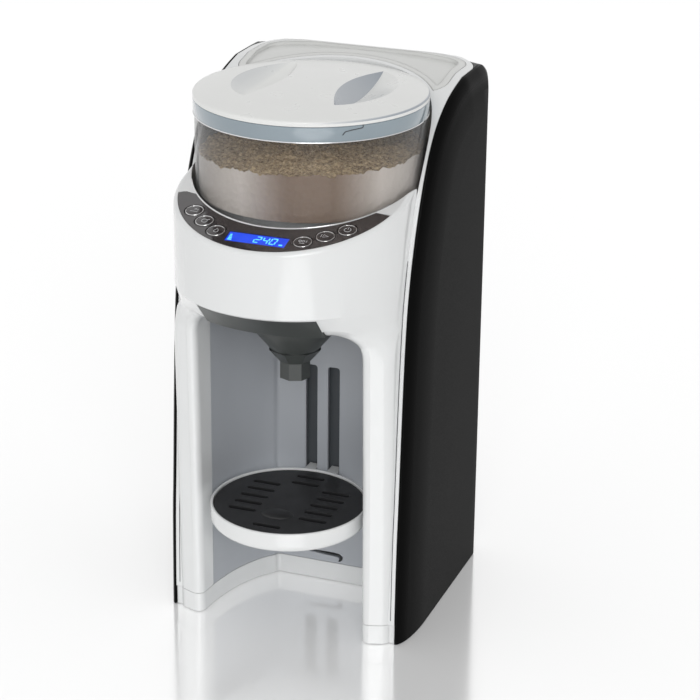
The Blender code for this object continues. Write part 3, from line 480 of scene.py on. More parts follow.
def remap(nodes, links, source, low, high, start=0.3, end=0.7):
    made = nodes.new("ShaderNodeMapRange")
    made.inputs["From Min"].default_value = start
    made.inputs["From Max"].default_value = end
    made.inputs["To Min"].default_value = low
    made.inputs["To Max"].default_value = high
    links.new(source, made.inputs["Value"])
    return made.outputs["Result"]


def blend_colour(nodes, links, factor, first, second):
    made = nodes.new("ShaderNodeMix")
    made.data_type = "RGBA"
    for value, i in ((factor, 0), (first, 6), (second, 7)):
        feed(links, value, made.inputs[i])
    return made.outputs[2]


def blend_number(nodes, links, factor, first, second):
    made = nodes.new("ShaderNodeMix")
    for value, i in ((factor, 0), (first, 2), (second, 3)):
        feed(links, value, made.inputs[i])
    return made.outputs[0]


def bump_from(nodes, links, shader, height, strength, distance=0.0002):
    made = nodes.new("ShaderNodeBump")
    made.inputs["Strength"].default_value = strength
    made.inputs["Distance"].default_value = distance
    links.new(height, made.inputs["Height"])
    links.new(made.outputs["Normal"], shader.inputs["Normal"])
    return made


def normal_parts(nodes, links):
    geometry = nodes.new("ShaderNodeNewGeometry")
    split = nodes.new("ShaderNodeSeparateXYZ")
    links.new(geometry.outputs["Normal"], split.inputs["Vector"])
    return split.outputs


def turned_away(nodes, blend):
    made = nodes.new("ShaderNodeLayerWeight")
    made.inputs["Blend"].default_value = blend
    return made.outputs["Facing"]


def combine(nodes, links, operation, *values):
    made = nodes.new("ShaderNodeMath")
    made.operation = operation
    for value, socket in zip(values, made.inputs):
        links.new(value, socket)
    return made.outputs["Value"]


def moulded(name, colour, roughness, grain=900.0, depth=0.03, coat=0.0, edge=0.5, second=None,
        specular=0.5):
    """Injection-moulded plastic: faint colour drift, uneven gloss, a fine grain and softened edges."""
    made, nodes, links, shader = new_material(name)
    second = second or tuple(c * 0.965 for c in colour)
    drift = texture(nodes, links, "ShaderNodeTexNoise", 14.0, Detail=3.0)
    links.new(blend_colour(nodes, links, drift.outputs["Fac"], colour, second), shader.inputs["Base Color"])
    gloss = texture(nodes, links, "ShaderNodeTexNoise", 55.0, Detail=4.0)
    links.new(remap(nodes, links, gloss.outputs["Fac"], roughness * 0.88, roughness * 1.12),
        shader.inputs["Roughness"])
    fine = texture(nodes, links, "ShaderNodeTexNoise", grain, Detail=2.0)
    bump = bump_from(nodes, links, shader, fine.outputs["Fac"], depth)
    if edge:
        soft = nodes.new("ShaderNodeBevel")
        soft.samples = 4
        soft.inputs["Radius"].default_value = edge * MM
        links.new(soft.outputs["Normal"], bump.inputs["Normal"])
    shader.inputs["Coat Weight"].default_value = coat
    shader.inputs["Coat Roughness"].default_value = 0.05
    shader.inputs["Specular IOR Level"].default_value = specular
    return made


def lid_material():
    """Satin white, with painted shade: the steep walls that face right are coloured blue-grey."""
    made = moulded("lid_white", (0.76, 0.765, 0.75), 0.3, depth=0.002, coat=0.1, edge=0)
    nodes, links = made.node_tree.nodes, made.node_tree.links
    shader = nodes["Principled BSDF"]
    # Painted shade: a blue-grey colour on walls that face right and a little up, where the scoops' steep
    # walls lie in shade.
    parts = normal_parts(nodes, links)
    steep = remap(nodes, links, parts["X"], 0.0, 1.0, 0.3, 0.75)
    upward = remap(nodes, links, parts["Z"], 0.0, 1.0, 0.05, 0.2)
    drift = texture(nodes, links, "ShaderNodeTexNoise", 14.0, Detail=3.0)
    painted_shade = blend_colour(nodes, links, drift.outputs["Fac"], (0.30, 0.33, 0.37), (0.36, 0.39, 0.43))
    painted_shade_mask = combine(nodes, links, "MULTIPLY", steep, upward)
    plain = shader.inputs["Base Color"].links[0].from_socket
    links.new(blend_colour(nodes, links, painted_shade_mask, plain, painted_shade), shader.inputs["Base Color"])
    return made


def panel_material():
    """Black side panel: satin on its flat face and polished on the rounded edge around it."""
    made, nodes, links, shader = new_material("side_panel_black")
    across = combine(nodes, links, "ABSOLUTE", normal_parts(nodes, links)["X"])
    face = remap(nodes, links, across, 0.0, 1.0, 0.955, 0.985)
    fine = texture(nodes, links, "ShaderNodeTexNoise", 1500.0, Detail=2.0)
    uneven = remap(nodes, links, fine.outputs["Fac"], 0.40, 0.50)
    links.new(blend_number(nodes, links, face, 0.13, uneven), shader.inputs["Roughness"])
    links.new(blend_colour(nodes, links, face, (0.004, 0.004, 0.004), (0.006, 0.006, 0.006)),
        shader.inputs["Base Color"])
    bump_from(nodes, links, shader, fine.outputs["Fac"], 0.05)
    shader.inputs["Specular IOR Level"].default_value = 0.02
    return made


def clear_material(name, tint, clearest, edge=0.75):
    """Clear plastic: an opaque tint shows most at its edges as painted shade for the dark edges of the
    clear wall, and fine scratches make its gloss uneven.
    """
    made, nodes, links, shader = new_material(name)
    scratches = texture(nodes, links, "ShaderNodeTexNoise", 160.0, (1, 1, 0.15), Detail=6.0)
    links.new(remap(nodes, links, scratches.outputs["Fac"], 0.03, 0.09), shader.inputs["Roughness"])
    # Painted shade: the tint turns opaque at grazing angles and darkens the edges of the clear wall.
    painted_edge_shade_mask = remap(nodes, links, turned_away(nodes, 0.25), clearest, edge, 0.0, 1.0)
    links.new(painted_edge_shade_mask, shader.inputs["Alpha"])
    links.new(blend_colour(nodes, links, scratches.outputs["Fac"], tint, tuple(c * 0.9 for c in tint)),
        shader.inputs["Base Color"])
    return made


def powder_material():
    """Milk powder: golden and grainy on top, where the dark specks are partly grain tone and partly painted
    shade between the grains; pale and smooth where it is pressed against the wall, with a painted
    reflection that turns the side dark brown where it faces the viewer.
    """
    made, nodes, links, shader = new_material("milk_powder")
    top = remap(nodes, links, normal_parts(nodes, links)["Z"], 0.0, 1.0, 0.2, 0.6)
    grains = texture(nodes, links, "ShaderNodeTexNoise", 420.0, Detail=8.0, Roughness=0.85)
    clumps = texture(nodes, links, "ShaderNodeTexVoronoi", 240.0)
    # The dark speck colour is partly grain tone and partly painted shade between the grains.
    grain_tone_and_shade = remap(nodes, links, grains.outputs["Fac"], 0, 1, 0.40, 0.60)
    golden = blend_colour(nodes, links, grain_tone_and_shade, (0.17, 0.085, 0.025), (0.98, 0.76, 0.46))
    wall = texture(nodes, links, "ShaderNodeTexNoise", 22.0, (1, 1, 0.3), Detail=3.0)
    # Painted reflection: the side turns dark brown where it faces the viewer and pale towards its edges;
    # the wall noise adds real streaks.
    painted_reflection_mask = remap(nodes, links, turned_away(nodes, 0.5), 0.0, 1.0, 0.07, 0.26)
    shade = blend_number(nodes, links, 0.12, painted_reflection_mask, wall.outputs["Fac"])
    pale = blend_colour(nodes, links, shade, (0.24, 0.155, 0.10), (0.98, 0.90, 0.83))
    links.new(blend_colour(nodes, links, top, pale, golden), shader.inputs["Base Color"])
    bump_from(nodes, links, shader, clumps.outputs["Distance"], 0.6, 0.0012)
    shader.inputs["Roughness"].default_value = 0.9
    return made


def metal(name, colour, roughness, stretch=(1, 1, 30)):
    made, nodes, links, shader = new_material(name)
    lines = texture(nodes, links, "ShaderNodeTexNoise", 300.0, stretch, Detail=4.0)
    links.new(remap(nodes, links, lines.outputs["Fac"], roughness * 0.7, roughness * 1.3),
        shader.inputs["Roughness"])
    links.new(blend_colour(nodes, links, lines.outputs["Fac"], colour, tuple(c * 0.85 for c in colour)),
        shader.inputs["Base Color"])
    shader.inputs["Metallic"].default_value = 1.0
    return made


def glow(name, colour, strength, second=None):
    """A backlit surface whose light falls off a little unevenly."""
    made, nodes, links, shader = new_material(name)
    uneven = texture(nodes, links, "ShaderNodeTexNoise", 60.0, Detail=1.0)
    shade = blend_colour(nodes, links, uneven.outputs["Fac"], colour, second or colour)
    links.new(shade, shader.inputs["Base Color"])
    links.new(shade, shader.inputs["Emission Color"])
    shader.inputs["Emission Strength"].default_value = strength
    shader.inputs["Roughness"].default_value = 0.2
    return made


def make_materials():
    white = (0.74, 0.75, 0.75)
    return {
        "white": moulded("white_gloss", white, 0.16, depth=0.015, coat=0.35, edge=0.6),
        "lid_white": lid_material(),
        "tank_lid": moulded("tank_lid_white", (0.66, 0.665, 0.65), 0.34, depth=0.03, edge=2.2),
        # Painted shade: the bay liner is coloured blue-grey, darker than the white shell, to darken the
        # inside of the bay.
        "liner": moulded("bay_painted_shade_grey", (0.42, 0.44, 0.47), 0.36, grain=1100, depth=0.05, edge=0.6),
        "panel": panel_material(),
        "rear": moulded("rear_black", (0.014, 0.014, 0.014), 0.42, grain=1500, depth=0.12, specular=0.3),
        "fascia": moulded("fascia_black", (0.012, 0.006, 0.007), 0.07, depth=0.004, coat=0.6, edge=0.3),
        "button": moulded("button_black", (0.016, 0.010, 0.011), 0.13, depth=0.004, coat=0.4, edge=0.4),
        "funnel": moulded("funnel_grey", (0.050, 0.055, 0.053), 0.36, grain=1200, depth=0.08,
            specular=0.4),
        "grid": moulded("grid_black", (0.018, 0.018, 0.019), 0.46, grain=1300, depth=0.15,
            specular=0.4),
        "collar": moulded("collar_blue_grey", (0.20, 0.245, 0.275), 0.16, depth=0.01, coat=0.6,
            edge=0.3, second=(0.30, 0.36, 0.40)),
        "rubber": moulded("foot_rubber", (0.02, 0.02, 0.02), 0.8, grain=2000, depth=0.3, edge=0.4),
        "silicone": moulded("silicone", (0.62, 0.62, 0.60), 0.55, grain=700, depth=0.06, edge=0.3),
        "inner": moulded("inner_grey", (0.50, 0.51, 0.52), 0.4, grain=1000, depth=0.06, edge=0.3),
        "board": moulded("board_green", (0.012, 0.09, 0.035), 0.4, grain=400, depth=0.1,
            second=(0.03, 0.14, 0.05)),
        "backing": moulded("backing_grey", (0.09, 0.10, 0.11), 0.5, grain=900, depth=0.06, edge=0.3),
        "seam": moulded("seam_shadow", (0.05, 0.055, 0.06), 0.7, depth=0.02, edge=0),
        "clear": clear_material("hopper_clear", (0.20, 0.20, 0.20), 0.10),
        "smoke": clear_material("tank_smoke", (0.30, 0.33, 0.35), 0.35),
        "powder": powder_material(),
        "steel": metal("steel", (0.62, 0.62, 0.61), 0.3),
        "silver": metal("silver_trim", (0.80, 0.80, 0.80), 0.16, (1, 1, 1)),
        "icon": moulded("icon_white", (0.62, 0.63, 0.64), 0.4, depth=0.01, edge=0),
        "lcd": glow("display_blue", (0.003, 0.024, 0.50), 0.6, (0.010, 0.070, 0.72)),
        "digit": glow("display_cyan", (0.10, 0.50, 1.0), 1.0),
    }


# --- Pieces ---


def drawer_room():
    half = DRAWER_HALF_WIDTH + DRAWER_PLAY
    low, high = (-half, FRONT_Y - 20, BAY_TOP - 8), (half, DRAWER_REAR_Y + 0.5, BAY_TOP + 4.4)
    return box("drawer_room", low, high)


def display_block(name, grow, low, high=4.0):
    x, y, middle = DISPLAY_WIDTH / 2 + grow, DISPLAY_HEIGHT / 2 + grow, deck_y(DISPLAY_Y)
    return box(name, (-x, middle - y, low), (x, middle + y, high), deck_frame())


def button_holes(radius):
    return [cylinder(f"hole_{name}", radius, -9, 6, (x, deck_y(y)), 40, tilt=deck_frame())
        for name, (x, y) in BUTTON_PLACES.items()]


def make_shell():
    plan = rounded_back(CORE_HALF_WIDTH, CORE_FRONT_Y, CORE_REAR_Y, CORE_REAR_RADIUS)
    core = slab("shell_skin", plan, BASE_HEIGHT + GAP, CORE_FAR_TOP)
    keep_inside(core, envelope("outside"))
    join(core, nose_with_deck("nose", BASE_HEIGHT + GAP))
    plan = rounded_back(CORE_HALF_WIDTH - WALL, CORE_FRONT_Y, 140, 5)
    hollow = slab("core_hollow", plan, FAR_BELOW, CORE_FAR_TOP)
    keep_inside(hollow, envelope("inside", WALL))
    join(hollow, nose_with_deck("nose_hollow", FAR_BELOW, WALL, 3.0))
    cut(hollow, cylinder("recess_wall", RECESS_RADIUS + WALL, RECESS_FLOOR - WALL, 420, sides=128),
        loft("bay_wall", bay_rings(WALL)))
    cut(core, hollow, loft("bay", bay_rings()),
        cylinder("recess", RECESS_RADIUS, RECESS_FLOOR, 430, sides=128))
    room = keep_inside(loft("liner_room", bay_rings(WALL + GAP)),
        box("behind_lip", (-90, LINER_FRONT_Y - GAP, -50), (90, 60, 300)))
    cut(core, room, cylinder("drive_hole", 8.0, 270, 290),
        cylinder("outlet_hole", OUTLET_RADIUS, 270, 290, (0, OUTLET_Y)))
    half = DRAWER_HALF_WIDTH + DRAWER_PLAY
    notch = box("drawer_notch", (-half, FRONT_Y - 12, BAY_TOP - 6), (half, -60, DRAWER_TOP_Z + GAP))
    cut(core, drawer_room(), notch)
    opening = rounded_rectangle(-LID_HALF_WIDTH - GAP, LID_FRONT_Y - GAP, LID_HALF_WIDTH + GAP,
        LID_REAR_Y + GAP, LID_CORNER)
    opening = slab("tank_opening", opening, 300, 400)
    cut(core, cut(opening, cylinder("opening_front", RECESS_RADIUS + WALL + 0.6, 290, 410, sides=128)))
    pocket = crescent("fascia_pocket", 2.3, 0.25, 60)
    cut(core, pocket, display_block("display_room", 1.2, -12.0), *button_holes(BUTTON_RADIUS + 0.8))
    finish_piece(core, "frame", "white", "front_shell", sharp=30)


def crescent(name, depth, grow, above=0.0):
    """The control panel's outline round the nose: its left end is rounded and its right end is pointed."""
    left_end, right_end = -51.0, -46.8
    front = nose_outline(260, DECK_EDGE - grow)
    edge = [(x, y) for x, y in front if y < (left_end if x < 0 else right_end) + grow]
    inner = RECESS_RADIUS + 0.7 - grow
    right, left = (math.degrees(math.acos((reach - grow) / inner)) for reach in (46.6, 50.6))
    turns = [math.radians(right - (right + left) * i / 80) for i in range(81)]
    back = [(inner * math.sin(a), -inner * math.cos(a)) for a in turns]
    tip = [(-62.0, -49.8 + grow), (-64.8, -49.2 + grow), (-67.0 - grow, -49.8 + grow)]
    shape = slab(name, [*edge, *back, *tip], 200, 360)
    return keep_inside(shape, box(name + "_sheet", (-120, -30, -depth), (120, 260, above),
        tilt=deck_frame()))


def make_controls():
    fascia = crescent("fascia_skin", 2.0, 0.0)
    cut(fascia, display_block("window", GAP, -6.0), *button_holes(BUTTON_RADIUS + GAP))
    finish_piece(fascia, "frame", "fascia", "control_fascia")
    make_display()
    for name, (x, y) in BUTTON_PLACES.items():
        make_button(name, x, deck_y(y))
    edge = RECESS_RADIUS - 0.1
    ring = [(edge * math.sin(a), -edge * math.cos(a))
        for a in (math.radians(-62 + 124 * i / 96) for i in range(97))]
    trim = sweep("hopper_trim", [(x, y, deck_height(y) + 0.1) for x, y in ring], 0.3)
    finish_piece(trim, "frame", "silver")


def deck_sweep(name, points, radius, height, closed=False):
    """A thin line drawn on the deck; its points are across and up the slope."""
    tilt = deck_frame()
    return sweep(name, [tuple(tilt @ Vector((u, v, height))) for u, v in points], radius, closed, 6)


def make_button(name, x, y):
    """A round key with a domed face, a thin silver ring and a plain symbol."""
    tilt = deck_frame() @ Matrix.Translation((x, y, 0))
    bm = bmesh.new()
    profile = [(0, 0.25), (3.5, 0.18), (5.6, -0.02), (6.2, -0.25), (BUTTON_RADIUS, -0.6),
        (BUTTON_RADIUS, -2.2), (2, -2.2), (2, -6.5), (0, -6.5)]
    rings = []
    for radius, z in profile:
        if radius:
            rings.append([bm.verts.new(tilt @ Vector((u, v, z))) for u, v in circle((0, 0), radius, 48)])
        else:
            rings.append([bm.verts.new(tilt @ Vector((0, 0, z)))] * 48)
    skin_rings(bm, zip(rings, rings[1:]))
    body = name + "_button"
    finish_piece(place(body + "_cap", bm), body, "button", body)
    ring = deck_sweep(body + "_ring", circle((x, y), 5.5, 40), 0.22, 0.02, True)
    finish_piece(ring, body, "silver")
    for i, stroke in enumerate(BUTTON_STROKES[name]):
        closed = len(stroke) > 3 and stroke[0] == stroke[-1]
        points = [(x + u, y + v) for u, v in (stroke[:-1] if closed else stroke)]
        line = deck_sweep(f"{body}_mark_{i}", points, 0.17, 0.18, closed)
        finish_piece(line, body, "icon")


BUTTON_STROKES = {
    "strength": [[(-2.6, -1.4), (2.2, -1.4), (2.2, 1.6), (-2.6, -1.4)], [(-0.6, 1.4), (1.0, 2.0)]],
    "formula": [arc((0, -0.2), 1.8, 0, 360, 16), [(1.4, 1.0), (3.0, 2.0)]],
    "water": [[(0.2, 2.4), (1.5, 0.2), *arc((0.2, -0.5), 1.4, 10, -190, 10), (0.2, 2.4)]],
    "size": [arc((-1.8, 0.5), 0.9, 0, 360, 12), arc((0.4, 0.5), 0.9, 0, 360, 12), [(2.4, -0.5), (2.4, 1.6)],
    [(-1.6, -1.8), (1.8, -1.8)]],
    "start": [[(-1.2, -1.5), (-1.2, 1.5), (2.0, 0.0), (-1.2, -1.5)], [(-2.6, -1.4), (-2.6, 1.4)]],
    "power": [arc((0, 0), 2.1, 120, 420, 16), [(0, 0.6), (0, 2.8)]],
}


def make_display():
    """A blue backlit display with three seven-segment digits and a level bar."""
    middle = deck_y(DISPLAY_Y)
    tilt = deck_frame()
    finish_piece(display_block("display_skin", 0.0, -1.7, -0.3), "frame", "lcd", "lcd_display")
    segments = {"2": "abged", "4": "fgbc", "0": "abcdef"}
    wide, high, line = 3.4, 6.0, 0.72
    places = {
        "a": (0, high / 2, True), "g": (0, 0, True), "d": (0, -high / 2, True),
        "f": (-wide / 2, high / 4, False), "b": (wide / 2, high / 4, False),
        "e": (-wide / 2, -high / 4, False), "c": (wide / 2, -high / 4, False)}
    bars = []
    for i, digit in enumerate("240"):
        centre_x = 0.5 + i * 5.2
        for key in segments[digit]:
            u, v, flat = places[key]
            lean = 0.18 * v
            long, short = (wide - 0.5, line) if flat else (line, high / 2 - 0.5)
            low = (centre_x + u + lean - long / 2, middle + v - short / 2, -0.3)
            bars.append(box(f"segment_{i}_{key}", low, (low[0] + long, low[1] + short, -0.12), tilt))
    for i in range(4):
        bars.append(box(f"level_{i}", (-18.2, middle - 3.8 + i * 1.7, -0.3),
            (-15.6 - 0.45 * i, middle - 2.7 + i * 1.7, -0.12), tilt))
    bars.append(box("unit_bar", (15.4, middle - 3.4, -0.3), (17.6, middle - 2.2, -0.12), tilt))
    merged = bmesh.new()
    for bar in bars:
        merged.from_mesh(bar.data)
        bpy.data.objects.remove(bar)
    mesh = bpy.data.meshes.new("display_digits")
    merged.to_mesh(mesh)
    merged.free()
    finish_piece(new_object("display_digits", mesh), "frame", "digit")


def panel_ring(x, inset):
    """The outline of a side panel at x, with its front and top edges moved in by the inset."""
    top = TOP_Z - CORE_HALF_WIDTH**2 / (2 * CROWN_RADIUS)
    edge = [Vector((y, min(z, top))) for y, z in smooth_path(FRONT_EDGE, 8)]
    outline = [(FRONT_FOOT_Y + inset, 0.6)]
    for before, at, after in zip(edge, edge[1:], edge[2:]):
        along = (after - before).normalized()
        if at.y > 6:
            outline.append((at.x + inset * along.y, at.y - inset * along.x))
    outline += arc((REAR_Y - REAR_TOP_RADIUS, top - REAR_TOP_RADIUS - inset), REAR_TOP_RADIUS, 80, 0, 12)
    return [(x, y, z) for y, z in [*outline, (REAR_Y, 0.6)]]


def make_side_panels():
    for name, side in (("left_side_panel", -1), ("right_side_panel", 1)):
        start = CORE_HALF_WIDTH + GAP + PANEL_EDGE
        rings = [panel_ring(side * (CORE_HALF_WIDTH + GAP), 0.0)]
        for angle in (math.radians(7.5 * i) for i in range(13)):
            inset = PANEL_SWEEP * (1 - math.cos(angle))
            rings.append(panel_ring(side * (start + (HALF_WIDTH - start) * math.sin(angle)), inset))
        panel = loft(name + "_skin", rings)
        keep_inside(panel, crown_block(), plan_block())
        finish_piece(panel, "frame", "panel", name, sharp=25)


def plan_block():
    """The plan of the whole casing, a little narrower at the rear, with rounded rear corners."""
    x, y = REAR_HALF_WIDTH - REAR_RADIUS, REAR_Y - REAR_RADIUS
    right = [(HALF_WIDTH, -70), (HALF_WIDTH, -10), *arc((x, y), REAR_RADIUS, 0, 90, 16)]
    left = [(-u, v) for u, v in reversed(right)]
    return slab("plan", right + left, FAR_BELOW, FAR_ABOVE)


def rear_crown():
    """A block whose rounded rear top edge follows the crown of the roof."""
    rings = []
    for i in range(17):
        x = (CORE_HALF_WIDTH + 4) * (i / 8 - 1)
        top = TOP_Z - x * x / (2 * CROWN_RADIUS)
        corner = arc((REAR_Y - REAR_TOP_RADIUS, top - REAR_TOP_RADIUS), REAR_TOP_RADIUS, 90, 0, 12)
        rings.append([(x, y, z) for y, z in [(40, -20), (40, top), *corner, (REAR_Y, -20)]])
    return loft("rear_crown", rings)


def make_rear_cover():
    cover = box("rear_skin", (-CORE_HALF_WIDTH, 60, BASE_HEIGHT + GAP),
        (CORE_HALF_WIDTH, REAR_Y + 5, CORE_FAR_TOP))
    keep_inside(cover, envelope("outside"), plan_block(), rear_crown())
    core = rounded_back(CORE_HALF_WIDTH + GAP, CORE_FRONT_Y, CORE_REAR_Y + GAP, CORE_REAR_RADIUS)
    cut(cover, slab("core_plan", core, FAR_BELOW, FAR_ABOVE))
    low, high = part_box("power_inlet")
    cut(cover, box("inlet_opening", (low.x / MM - GAP, 100, low.z / MM - GAP),
        (high.x / MM + GAP, 130, high.z / MM + GAP)))
    vents = [rounded_rectangle(-30, 62 + 6 * i, 30, 65 + 6 * i, 1.4, 4) for i in range(6)]
    cut(cover, *[slab(f"vent_{i}", vent, 100, 130, axis="Y") for i, vent in enumerate(vents)])
    finish_piece(cover, "frame", "rear", "rear_cover")


def make_bay():
    liner = box("liner_skin", (-90, LINER_FRONT_Y, BASE_HEIGHT + GAP), (90, 60, 300))
    keep_inside(liner, loft("liner_block", bay_rings(WALL)))
    cut(liner, loft("bay_inside", bay_rings()))
    cut(liner, drawer_room())
    for x in (-TRAY_TRACK_X, TRAY_TRACK_X):
        track = rounded_rectangle(x - 4.2, TRACK_BOTTOM, x + 4.2, TRACK_TOP, 2.0, 5)
        cut(liner, slab("track", track, 10, 40, axis="Y"))
    cut(liner, slab("low_slot", LOW_SLOT, 15, 40, axis="Y"))
    finish_piece(liner, "frame", "liner", "bay_liner", sharp=30)
    backing = box("track_backing", (-18, 32, TRACK_BOTTOM - 4), (18, 33.5, TRACK_TOP + 8))
    finish_piece(backing, "frame", "backing")
    base = box("base_skin", (-CORE_HALF_WIDTH, -46.5, 0.6), (CORE_HALF_WIDTH, REAR_Y - 1, BASE_HEIGHT))
    keep_inside(base, plan_block())
    join(base, nose_block("base_nose", 0.6, BASE_HEIGHT))
    cut(base, loft("base_bay", bay_rings()))
    finish_piece(base, "frame", "white", "base_ring")


def make_hopper():
    r, w = HOPPER_RADIUS, HOPPER_WALL
    foot = arc((r - 3, HOPPER_FLOOR + 3), 3, 0, -90, 6)
    inner = arc((r - w - 3, HOPPER_FLOOR + w + 3), 3, -90, 0, 6)
    wall = turned("hopper_skin", [
        (r, HOPPER_TOP), *foot, (9.5, HOPPER_FLOOR), (9.5, HOPPER_FLOOR + w), *inner, (r - w, HOPPER_TOP)])
    cut(wall, cylinder("hopper_outlet", OUTLET_RADIUS, 270, 290, (0, OUTLET_Y)))
    finish_piece(wall, "hopper", "clear", "hopper_container")
    collar = turned("collar_skin", [
        (r + 0.5, LID_RIM - 3.2), (r + 0.9, LID_RIM - 3.6), (r + 0.9, COLLAR_BOTTOM + 0.6),
        (r + 0.5, COLLAR_BOTTOM), (r + GAP, COLLAR_BOTTOM),
        (r + GAP, HOPPER_TOP + GAP), (r - w, HOPPER_TOP + GAP), (r - w, LID_RIM - 3.2)])
    finish_piece(collar, "hopper", "collar", "hopper_collar")
    edge = turned("collar_edge", [(r + 1.0, COLLAR_BOTTOM + 0.8), (r + 1.0, COLLAR_BOTTOM + 0.2),
        (r + 0.6, COLLAR_BOTTOM + 0.2), (r + 0.6, COLLAR_BOTTOM + 0.8)])
    finish_piece(edge, "hopper", "silver")
    surface = r + 0.95
    path = [(36, 348.4), (37.4, 350.4), (41, 351.2), (45.6, 351.8), (46.2, 352.4), (46.2, 353.5)]
    mark = [(surface * math.sin(math.radians(a)), -surface * math.cos(math.radians(a)), z) for a, z in path]
    finish_piece(sweep("collar_mark", mark, 0.3, sides=6), "hopper", "seam")
    make_powder()


def make_powder():
    """The powder charge, hollow underneath so that the stirring arms turn freely in it."""
    outer, inner, steps, rows = 71.4, 67.4, 240, 56
    bm = bmesh.new()

    def height(x, y):
        rough = noise.noise(Vector((x, y, 0)) * 0.12) * 2.2 + noise.noise(Vector((x, y, 7)) * 0.45) * 1.6
        return POWDER_TOP + rough + 4.5 * min(0.0, (x + 20) / 55) - 0.00035 * ((x - 8) ** 2 + y * y) + 2.0

    def ring(radius, z_at):
        return [bm.verts.new((x, y, z_at(x, y))) for x, y in circle((0, 0), radius, steps)]

    def bottom(x, y):
        return HOPPER_FLOOR + 9

    def underside(x, y):
        return height(x, y) - 2.2

    rings = [ring(outer * (i + 1) / rows, height) for i in range(rows)]
    rings += [ring(outer, bottom), ring(inner, bottom), ring(inner, underside), ring(inner / 2, underside)]
    skin_rings(bm, zip(rings, rings[1:]))
    bm.faces.new(rings[0])
    bm.faces.new(rings[-1])
    finish_piece(place("powder_charge", bm), "hopper", "powder", sharp=40)


def make_lid():
    r, w = HOPPER_RADIUS, HOPPER_WALL
    seal_top = LID_RIM - 3.5
    dome = [(0, LID_CROWN), (15, LID_CROWN - 0.15), (30, LID_CROWN - 0.6), (45, LID_CROWN - 1.3),
        (58, LID_CROWN - 2.1), (66, LID_CROWN - 2.9), (71, LID_CROWN - 3.8)]
    rim = arc((LID_RADIUS - 1.6, LID_RIM - 1.2), 1.6, 70, 0, 6)
    lid = turned("lid_skin", [
        *dome, *rim, (LID_RADIUS, LID_RIM - 2.9), (r - w - 3.0, LID_RIM - 2.9), (r - w - 3.0, seal_top - 7),
        (r - w - 5.0, seal_top - 7),
        (r - w - 5.0, LID_RIM - 4.5), (34, LID_RIM - 16), (0, LID_RIM - 16)])
    cut(lid, *[finger_scoop(f"scoop_{side}", side) for side in (-1, 1)])
    finish_piece(lid, "lid", "lid_white", "lid_cap", sharp=28)


def finger_scoop(name, side):
    """A boat-shaped hollow beside the grip: steep on the grip's side, with a floor that rises outwards."""
    centre_y, half_length, crease, depth = 7.0, 46.0, 30.0, 9.0
    rings = []
    for i in range(33):
        u = -0.985 + 1.97 * i / 32
        swell = 1 - u * u
        low = depth * swell ** 0.8
        inner = 9.5 * swell
        outer = 24.0 * swell ** 0.7
        floor = LID_CROWN - 1.0 - low
        section = [(crease - inner * 1.5, floor + low * 1.5), (crease - inner, floor + low),
            (crease, floor)]
        section += [(crease + outer * s, floor + low * s * s * (1.6 - 0.6 * s))
            for s in (0.25, 0.5, 0.75, 1.0)]
        section += [(crease + outer * 1.3, floor + low * 1.6), (crease, floor + low + 12)]
        rings.append([(side * x, centre_y + half_length * u, z) for x, z in section])
    return loft(name, rings)


def make_tank_lid():
    plan = rounded_rectangle(-LID_HALF_WIDTH, LID_FRONT_Y, LID_HALF_WIDTH, LID_REAR_Y, LID_CORNER - GAP)
    lid = slab("tank_lid_skin", plan, TANK_TOP + 4, 380)
    keep_inside(lid, envelope("outside"))
    cut(lid, cylinder("lid_front", RECESS_RADIUS + WALL + 0.9, 300, 400, sides=128))
    rim = 5.0
    plan = rounded_rectangle(-LID_HALF_WIDTH + rim, LID_FRONT_Y + rim, LID_HALF_WIDTH - rim,
        LID_REAR_Y - rim, LID_CORNER - rim)
    dish = cut(slab("lid_dish", plan, 330, 390), envelope("dish_floor", DISH_DEPTH))
    cut(lid, cut(dish, cylinder("dish_front", RECESS_RADIUS + WALL + rim, 300, 400, sides=128)))
    finish_piece(lid, "tank_lid", "tank_lid", "tank_lid")


def make_drawer():
    z0 = BAY_TOP + GAP
    drawer = box("drawer_skin", (-DRAWER_HALF_WIDTH, FRONT_Y - 5, z0),
        (DRAWER_HALF_WIDTH, DRAWER_REAR_Y, DRAWER_TOP_Z))
    keep_inside(drawer, nose_block("drawer_plan", 200, 260))
    behind = keep_inside(box("behind_front", (-60, FRONT_Y - 5, z0 + 2.5), (60, 40, 255)),
        nose_block("drawer_upper", 201, 259, 3.5))
    cut(drawer, behind)
    upper = [(0, z0 + 1.2), (CONE_RADIUS, z0 + 1.2), (CONE_RADIUS, z0 - 1), (CONE_RADIUS - 4.5, z0 - 13)]
    axis = (0, OUTLET_Y)
    join(drawer, turned("cone", [*upper, (SPOUT_RADIUS - 1, CONE_BOTTOM), (0, CONE_BOTTOM)], axis, 96))
    lower = [(0, CONE_BOTTOM + 9), (SPOUT_RADIUS + 8, CONE_BOTTOM + 9), (SPOUT_RADIUS + 0.4, CONE_BOTTOM)]
    join(drawer, turned("spout", [*lower, (SPOUT_RADIUS + 0.4, SPOUT_BOTTOM), (0, SPOUT_BOTTOM)], axis, 8))
    r = CONE_RADIUS - 2
    mouth = [
        (0, z0 + 10), (r, z0 + 10), (r, z0 - 1), (r - 4.5, z0 - 13), (SPOUT_RADIUS - 2, CONE_BOTTOM + 1),
        (SPOUT_RADIUS - 2, SPOUT_BOTTOM - 5), (0, SPOUT_BOTTOM - 5)]
    cut(drawer, turned("mouth", mouth, axis, 96))
    finish_piece(drawer, "drawer", "funnel", "funnel_drawer", sharp=25)


